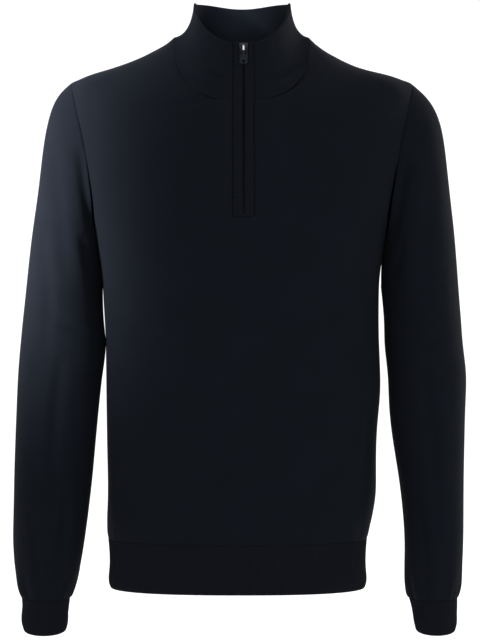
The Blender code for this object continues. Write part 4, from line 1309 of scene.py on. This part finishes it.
class SWEATER_OT_collar(bpy.types.Operator):
    """Build the standing collar, folded at its rim"""

    bl_idname = "sweater.collar"
    bl_label = "Collar"

    def execute(self, context):
        cloth, colours = context.scene.sweater_cloth, context.scene.sweater_colours
        knit = knit_material("knitted_wool_jersey", colours.knit, colours.nap)
        cell = cloth.cell * METRE / COLLAR_FINER
        net, _, columns = fine_net(coarse_nets()["collar"], cell, cell)
        net = drawn_to(net, seam_line(list(neck_parts().values()), cell_count(columns, net.shape[1])))
        net = pressed(net, "collar")
        cloth_map = along_cloth(net, middle=net.shape[1] // 2)
        obj = shell("collar_knit", net, cloth_map, cloth.collar * METRE, knit, free=("top",),
                    seam=COLLAR_ROUND)
        finish_cloth(obj, "collar")
        return {"FINISHED"}


class SWEATER_OT_zip(bpy.types.Operator):
    """Build the bands beside the zip, its tape and teeth, and finish the slider and pull tab"""

    bl_idname = "sweater.zip"
    bl_label = "Zip"

    def execute(self, context):
        cloth, colours = context.scene.sweater_cloth, context.scene.sweater_colours
        nets = coarse_nets()
        line = zip_edge(nets["front_panel"], nets["collar"])
        line = refined(line[:, None], ZIP_CELL)[0][:, 0]
        rib = knit_material("knitted_wool_rib", colours.ribs, colours.nap)
        for side in WEARER_SIDE:
            band = turned(refined(turned(band_net(side, line)), BAND_CELL)[0])
            band = band + facing(band) * BAND_RISE
            cloth_map = along_cloth(band)
            obj = shell(f"facing_band_{side}_knit", band, cloth_map, cloth.band * METRE, rib,
                        free=("start", "end", "top"))
            finish_cloth(obj, f"facing_band_{side}")
            if side == "right":
                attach(add_tack(band), "sweater")
        tape = strip_net(line, -TAPE_HALF_WIDTH, TAPE_HALF_WIDTH, fullness=0)
        tape = turned(refined(turned(tape), TAPE_CELL)[0])
        tape = tape - facing(tape) * TAPE_BEHIND
        obj = shell("zip_tape_weave", tape, along_cloth(tape), TAPE_CLOTH, tape_material(),
                    free=("start", "end", "top", "bottom"))
        finish_cloth(obj, "zip_tape")
        teeth = add_teeth(line, metal_material("plated_zinc_teeth", "#0f1216", 0.45))
        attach(teeth, "sweater")
        plated = metal_material("plated_zinc_slider", colours.slider, 0.24, GLINT_FRONT)
        add_rounded("zip_slider", "sweater", plated)
        add_rounded("pull_tab", "tab", metal_material("plated_zinc_tab", colours.tab, 0.4))
        return {"FINISHED"}


def add_rounded(node, body, material):
    """A hard part's own shape with its edges rounded, in its solid's place."""
    obj = bpy.data.objects.new(f"{node}_cast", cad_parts[node].data.copy())
    bpy.context.scene.collection.objects.link(obj)
    obj.data.materials.clear()
    obj.data.materials.append(material)
    bevel = obj.modifiers.new("rounded_edges", "BEVEL")
    bevel.width = HARD_EDGE / METRE
    bevel.segments = 2
    bevel.angle_limit = np.radians(HARD_ANGLE)
    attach(obj, body)
    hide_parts(node)


def add_tack(band):
    """The short bar of close stitches over the zip's stop, on the band's outer face."""
    columns = turned(band)
    across = np.linspace(TACK_START, TACK_END, TACK_POINTS)
    points, polygons = [], []
    for row in range(TACK_ROWS):
        height = TACK_HEIGHT + row * TACK_THREAD
        on_band = np.array([[np.interp(height, column[:, 2], column[:, axis]) for axis in (0, 1)]
                            for column in columns])
        deep = np.interp(across, on_band[:, 0], on_band[:, 1]) - TACK_RISE
        thick = TACK_THREAD / 2 * (1 + TACK_SWELL * np.abs(np.sin(across * TACK_TWIST + row)))
        thick[[0, -1]] = TACK_TIP
        for turn in np.linspace(0, 2 * np.pi, TACK_SIDES, endpoint=False):
            points.append(place(across, deep + thick * np.cos(turn), height + thick * np.sin(turn)))
        start = row * TACK_SIDES * TACK_POINTS
        for edge in range(TACK_SIDES):
            a, b = [start + (edge + step) % TACK_SIDES * TACK_POINTS for step in (0, 1)]
            polygons += [(a + k, b + k, b + k + 1, a + k + 1) for k in range(TACK_POINTS - 1)]
    obj = add_mesh("bar_tack_thread", np.concatenate(points), polygons, thread_material())
    return obj


def add_teeth(line, material):
    """The zip's closed teeth: small blocks from either side in turn, along the slit."""
    length = np.concatenate([[0], np.cumsum(np.linalg.norm(np.diff(line, axis=0), axis=1))])
    at = np.arange(TEETH_FOOT, length[-1] - TEETH_TOP, TOOTH_PITCH / 2)
    middle = np.stack([np.interp(at, length, line[:, axis]) for axis in range(3)], -1)
    up = unit(np.gradient(middle, axis=0))
    across = np.broadcast_to([1.0, 0.0, 0.0], up.shape)
    out = np.cross(across, up)
    corners = np.array([(x, y, z) for z in (0, 1) for y in (0, 1) for x in (0, 1)], float)
    low = np.array([-TOOTH_REACH, -TOOTH_HEIGHT / 2, -TEETH_BEHIND - TOOTH_DEPTH])
    high = np.array([TOOTH_OVERLAP, TOOTH_HEIGHT / 2, -TEETH_BEHIND])
    points, polygons = [], []
    block = np.array([(0, 2, 3, 1), (4, 5, 7, 6), (0, 1, 5, 4), (2, 6, 7, 3), (0, 4, 6, 2), (1, 3, 7, 5)])
    for number in range(len(at)):
        local = low + corners * (high - low)
        local[corners[:, 2] == 1, 1] *= TOOTH_TAPER
        if number % 2:
            local[:, 0] *= -1
        axes = np.stack([across[number], up[number], out[number]])
        points.append(middle[number] + local @ axes)
        polygons.append((block if number % 2 == 0 else block[:, ::-1]) + len(corners) * number)
    return add_mesh("zip_teeth", np.concatenate(points), np.concatenate(polygons), material, smooth=False)


class SWEATER_OT_stage(bpy.types.Operator):
    """Add the floor and backdrop, the lights and the camera"""

    bl_idname = "sweater.stage"
    bl_label = "Stage"

    def execute(self, context):
        settings = context.scene.sweater_stage
        add_backdrop()
        for row in LIGHTS:
            light = dict(zip(LIGHT_COLUMNS, row))
            add_light(light, getattr(settings, light["setting"]))
        world = bpy.data.worlds.new("white_room")
        world.use_nodes = True
        background = world.node_tree.nodes["Background"].inputs
        background["Color"].default_value = linear("#ffffff")
        background["Strength"].default_value = settings.surround
        context.scene.world = world
        camera = bpy.data.cameras.new("camera")
        camera.lens = settings.lens
        camera.clip_end = CAMERA_REACH
        obj = bpy.data.objects.new("camera", camera)
        obj.location = CAMERA_PLACE
        obj.rotation_euler = (np.pi / 2, 0, 0)
        context.scene.collection.objects.link(obj)
        context.scene.camera = obj
        context.scene.view_settings.view_transform = "Standard"
        return {"FINISHED"}


def paper_material():
    """Matt white paper under its own even light, as in a bright studio. To the eye a plain white ground."""
    return new_material("matt_white_paper", Base_Color=linear("#dadada"), Roughness=0.9,
                        Emission_Color=linear("#ffffff"), Emission_Strength=0.42)


def add_backdrop():
    """The floor, which bends up into a wall behind the sweater."""
    turn = np.linspace(0, np.pi / 2, BACKDROP_STEPS + 1)
    y = BACKDROP_FAR - BACKDROP_BEND * (1 - np.sin(turn))
    z = FLOOR + BACKDROP_BEND * (1 - np.cos(turn))
    curve = [(BACKDROP_NEAR, FLOOR), *zip(y, z), (BACKDROP_FAR, BACKDROP_TOP)]
    points = [(x, y, z) for y, z in curve for x in (-BACKDROP_HALF, BACKDROP_HALF)]
    polygons = [(2 * i, 2 * i + 1, 2 * i + 3, 2 * i + 2) for i in range(len(curve) - 1)]
    return add_mesh("backdrop", points, polygons, paper_material())


def add_light(light, power):
    """A soft light from a row of the table."""
    lamp = bpy.data.lights.new(f"{light['setting']}_light", "AREA")
    lamp.energy = power
    lamp.shape = "RECTANGLE"
    lamp.size = light["width"]
    lamp.size_y = light["height"]
    lamp.spread = np.radians(light["spread"])
    obj = bpy.data.objects.new(lamp.name, lamp)
    obj.location = light["place"]
    towards = Vector(light["aim"]) - Vector(light["place"])
    obj.rotation_euler = towards.to_track_quat("-Z", "Y").to_euler()
    bpy.context.scene.collection.objects.link(obj)


class SWEATER_PT_tools(bpy.types.Panel):
    """Lists the settings and the steps"""

    bl_idname = "SWEATER_PT_tools"
    bl_label = "Sweater"
    bl_space_type = "VIEW_3D"
    bl_region_type = "UI"
    bl_category = "Sweater"

    def draw(self, context):
        for group in SETTINGS:
            for key in SETTINGS[group].__annotations__:
                self.layout.prop(getattr(context.scene, group), key)
        for operator in OPERATORS:
            self.layout.operator(operator.bl_idname)


SETTINGS = {
    "sweater_cloth": ClothSettings,
    "sweater_colours": ColourSettings,
    "sweater_stage": StageSettings,
}
OPERATORS = (SWEATER_OT_panels, SWEATER_OT_sleeves, SWEATER_OT_ribs, SWEATER_OT_collar, SWEATER_OT_zip,
             SWEATER_OT_stage)


def register():
    for group in (*SETTINGS.values(), *OPERATORS, SWEATER_PT_tools):
        bpy.utils.register_class(group)
    for name, group in SETTINGS.items():
        setattr(bpy.types.Scene, name, bpy.props.PointerProperty(type=group))


def unregister():
    for name in SETTINGS:
        delattr(bpy.types.Scene, name)
    for group in reversed((*SETTINGS.values(), *OPERATORS, SWEATER_PT_tools)):
        bpy.utils.unregister_class(group)


def main():
    """Builds the sweater and its stage."""
    register()
    bpy.ops.sweater.panels()
    bpy.ops.sweater.sleeves()
    bpy.ops.sweater.ribs()
    bpy.ops.sweater.collar()
    bpy.ops.sweater.zip()
    bpy.ops.sweater.stage()


if __name__ == "__main__":
    main()
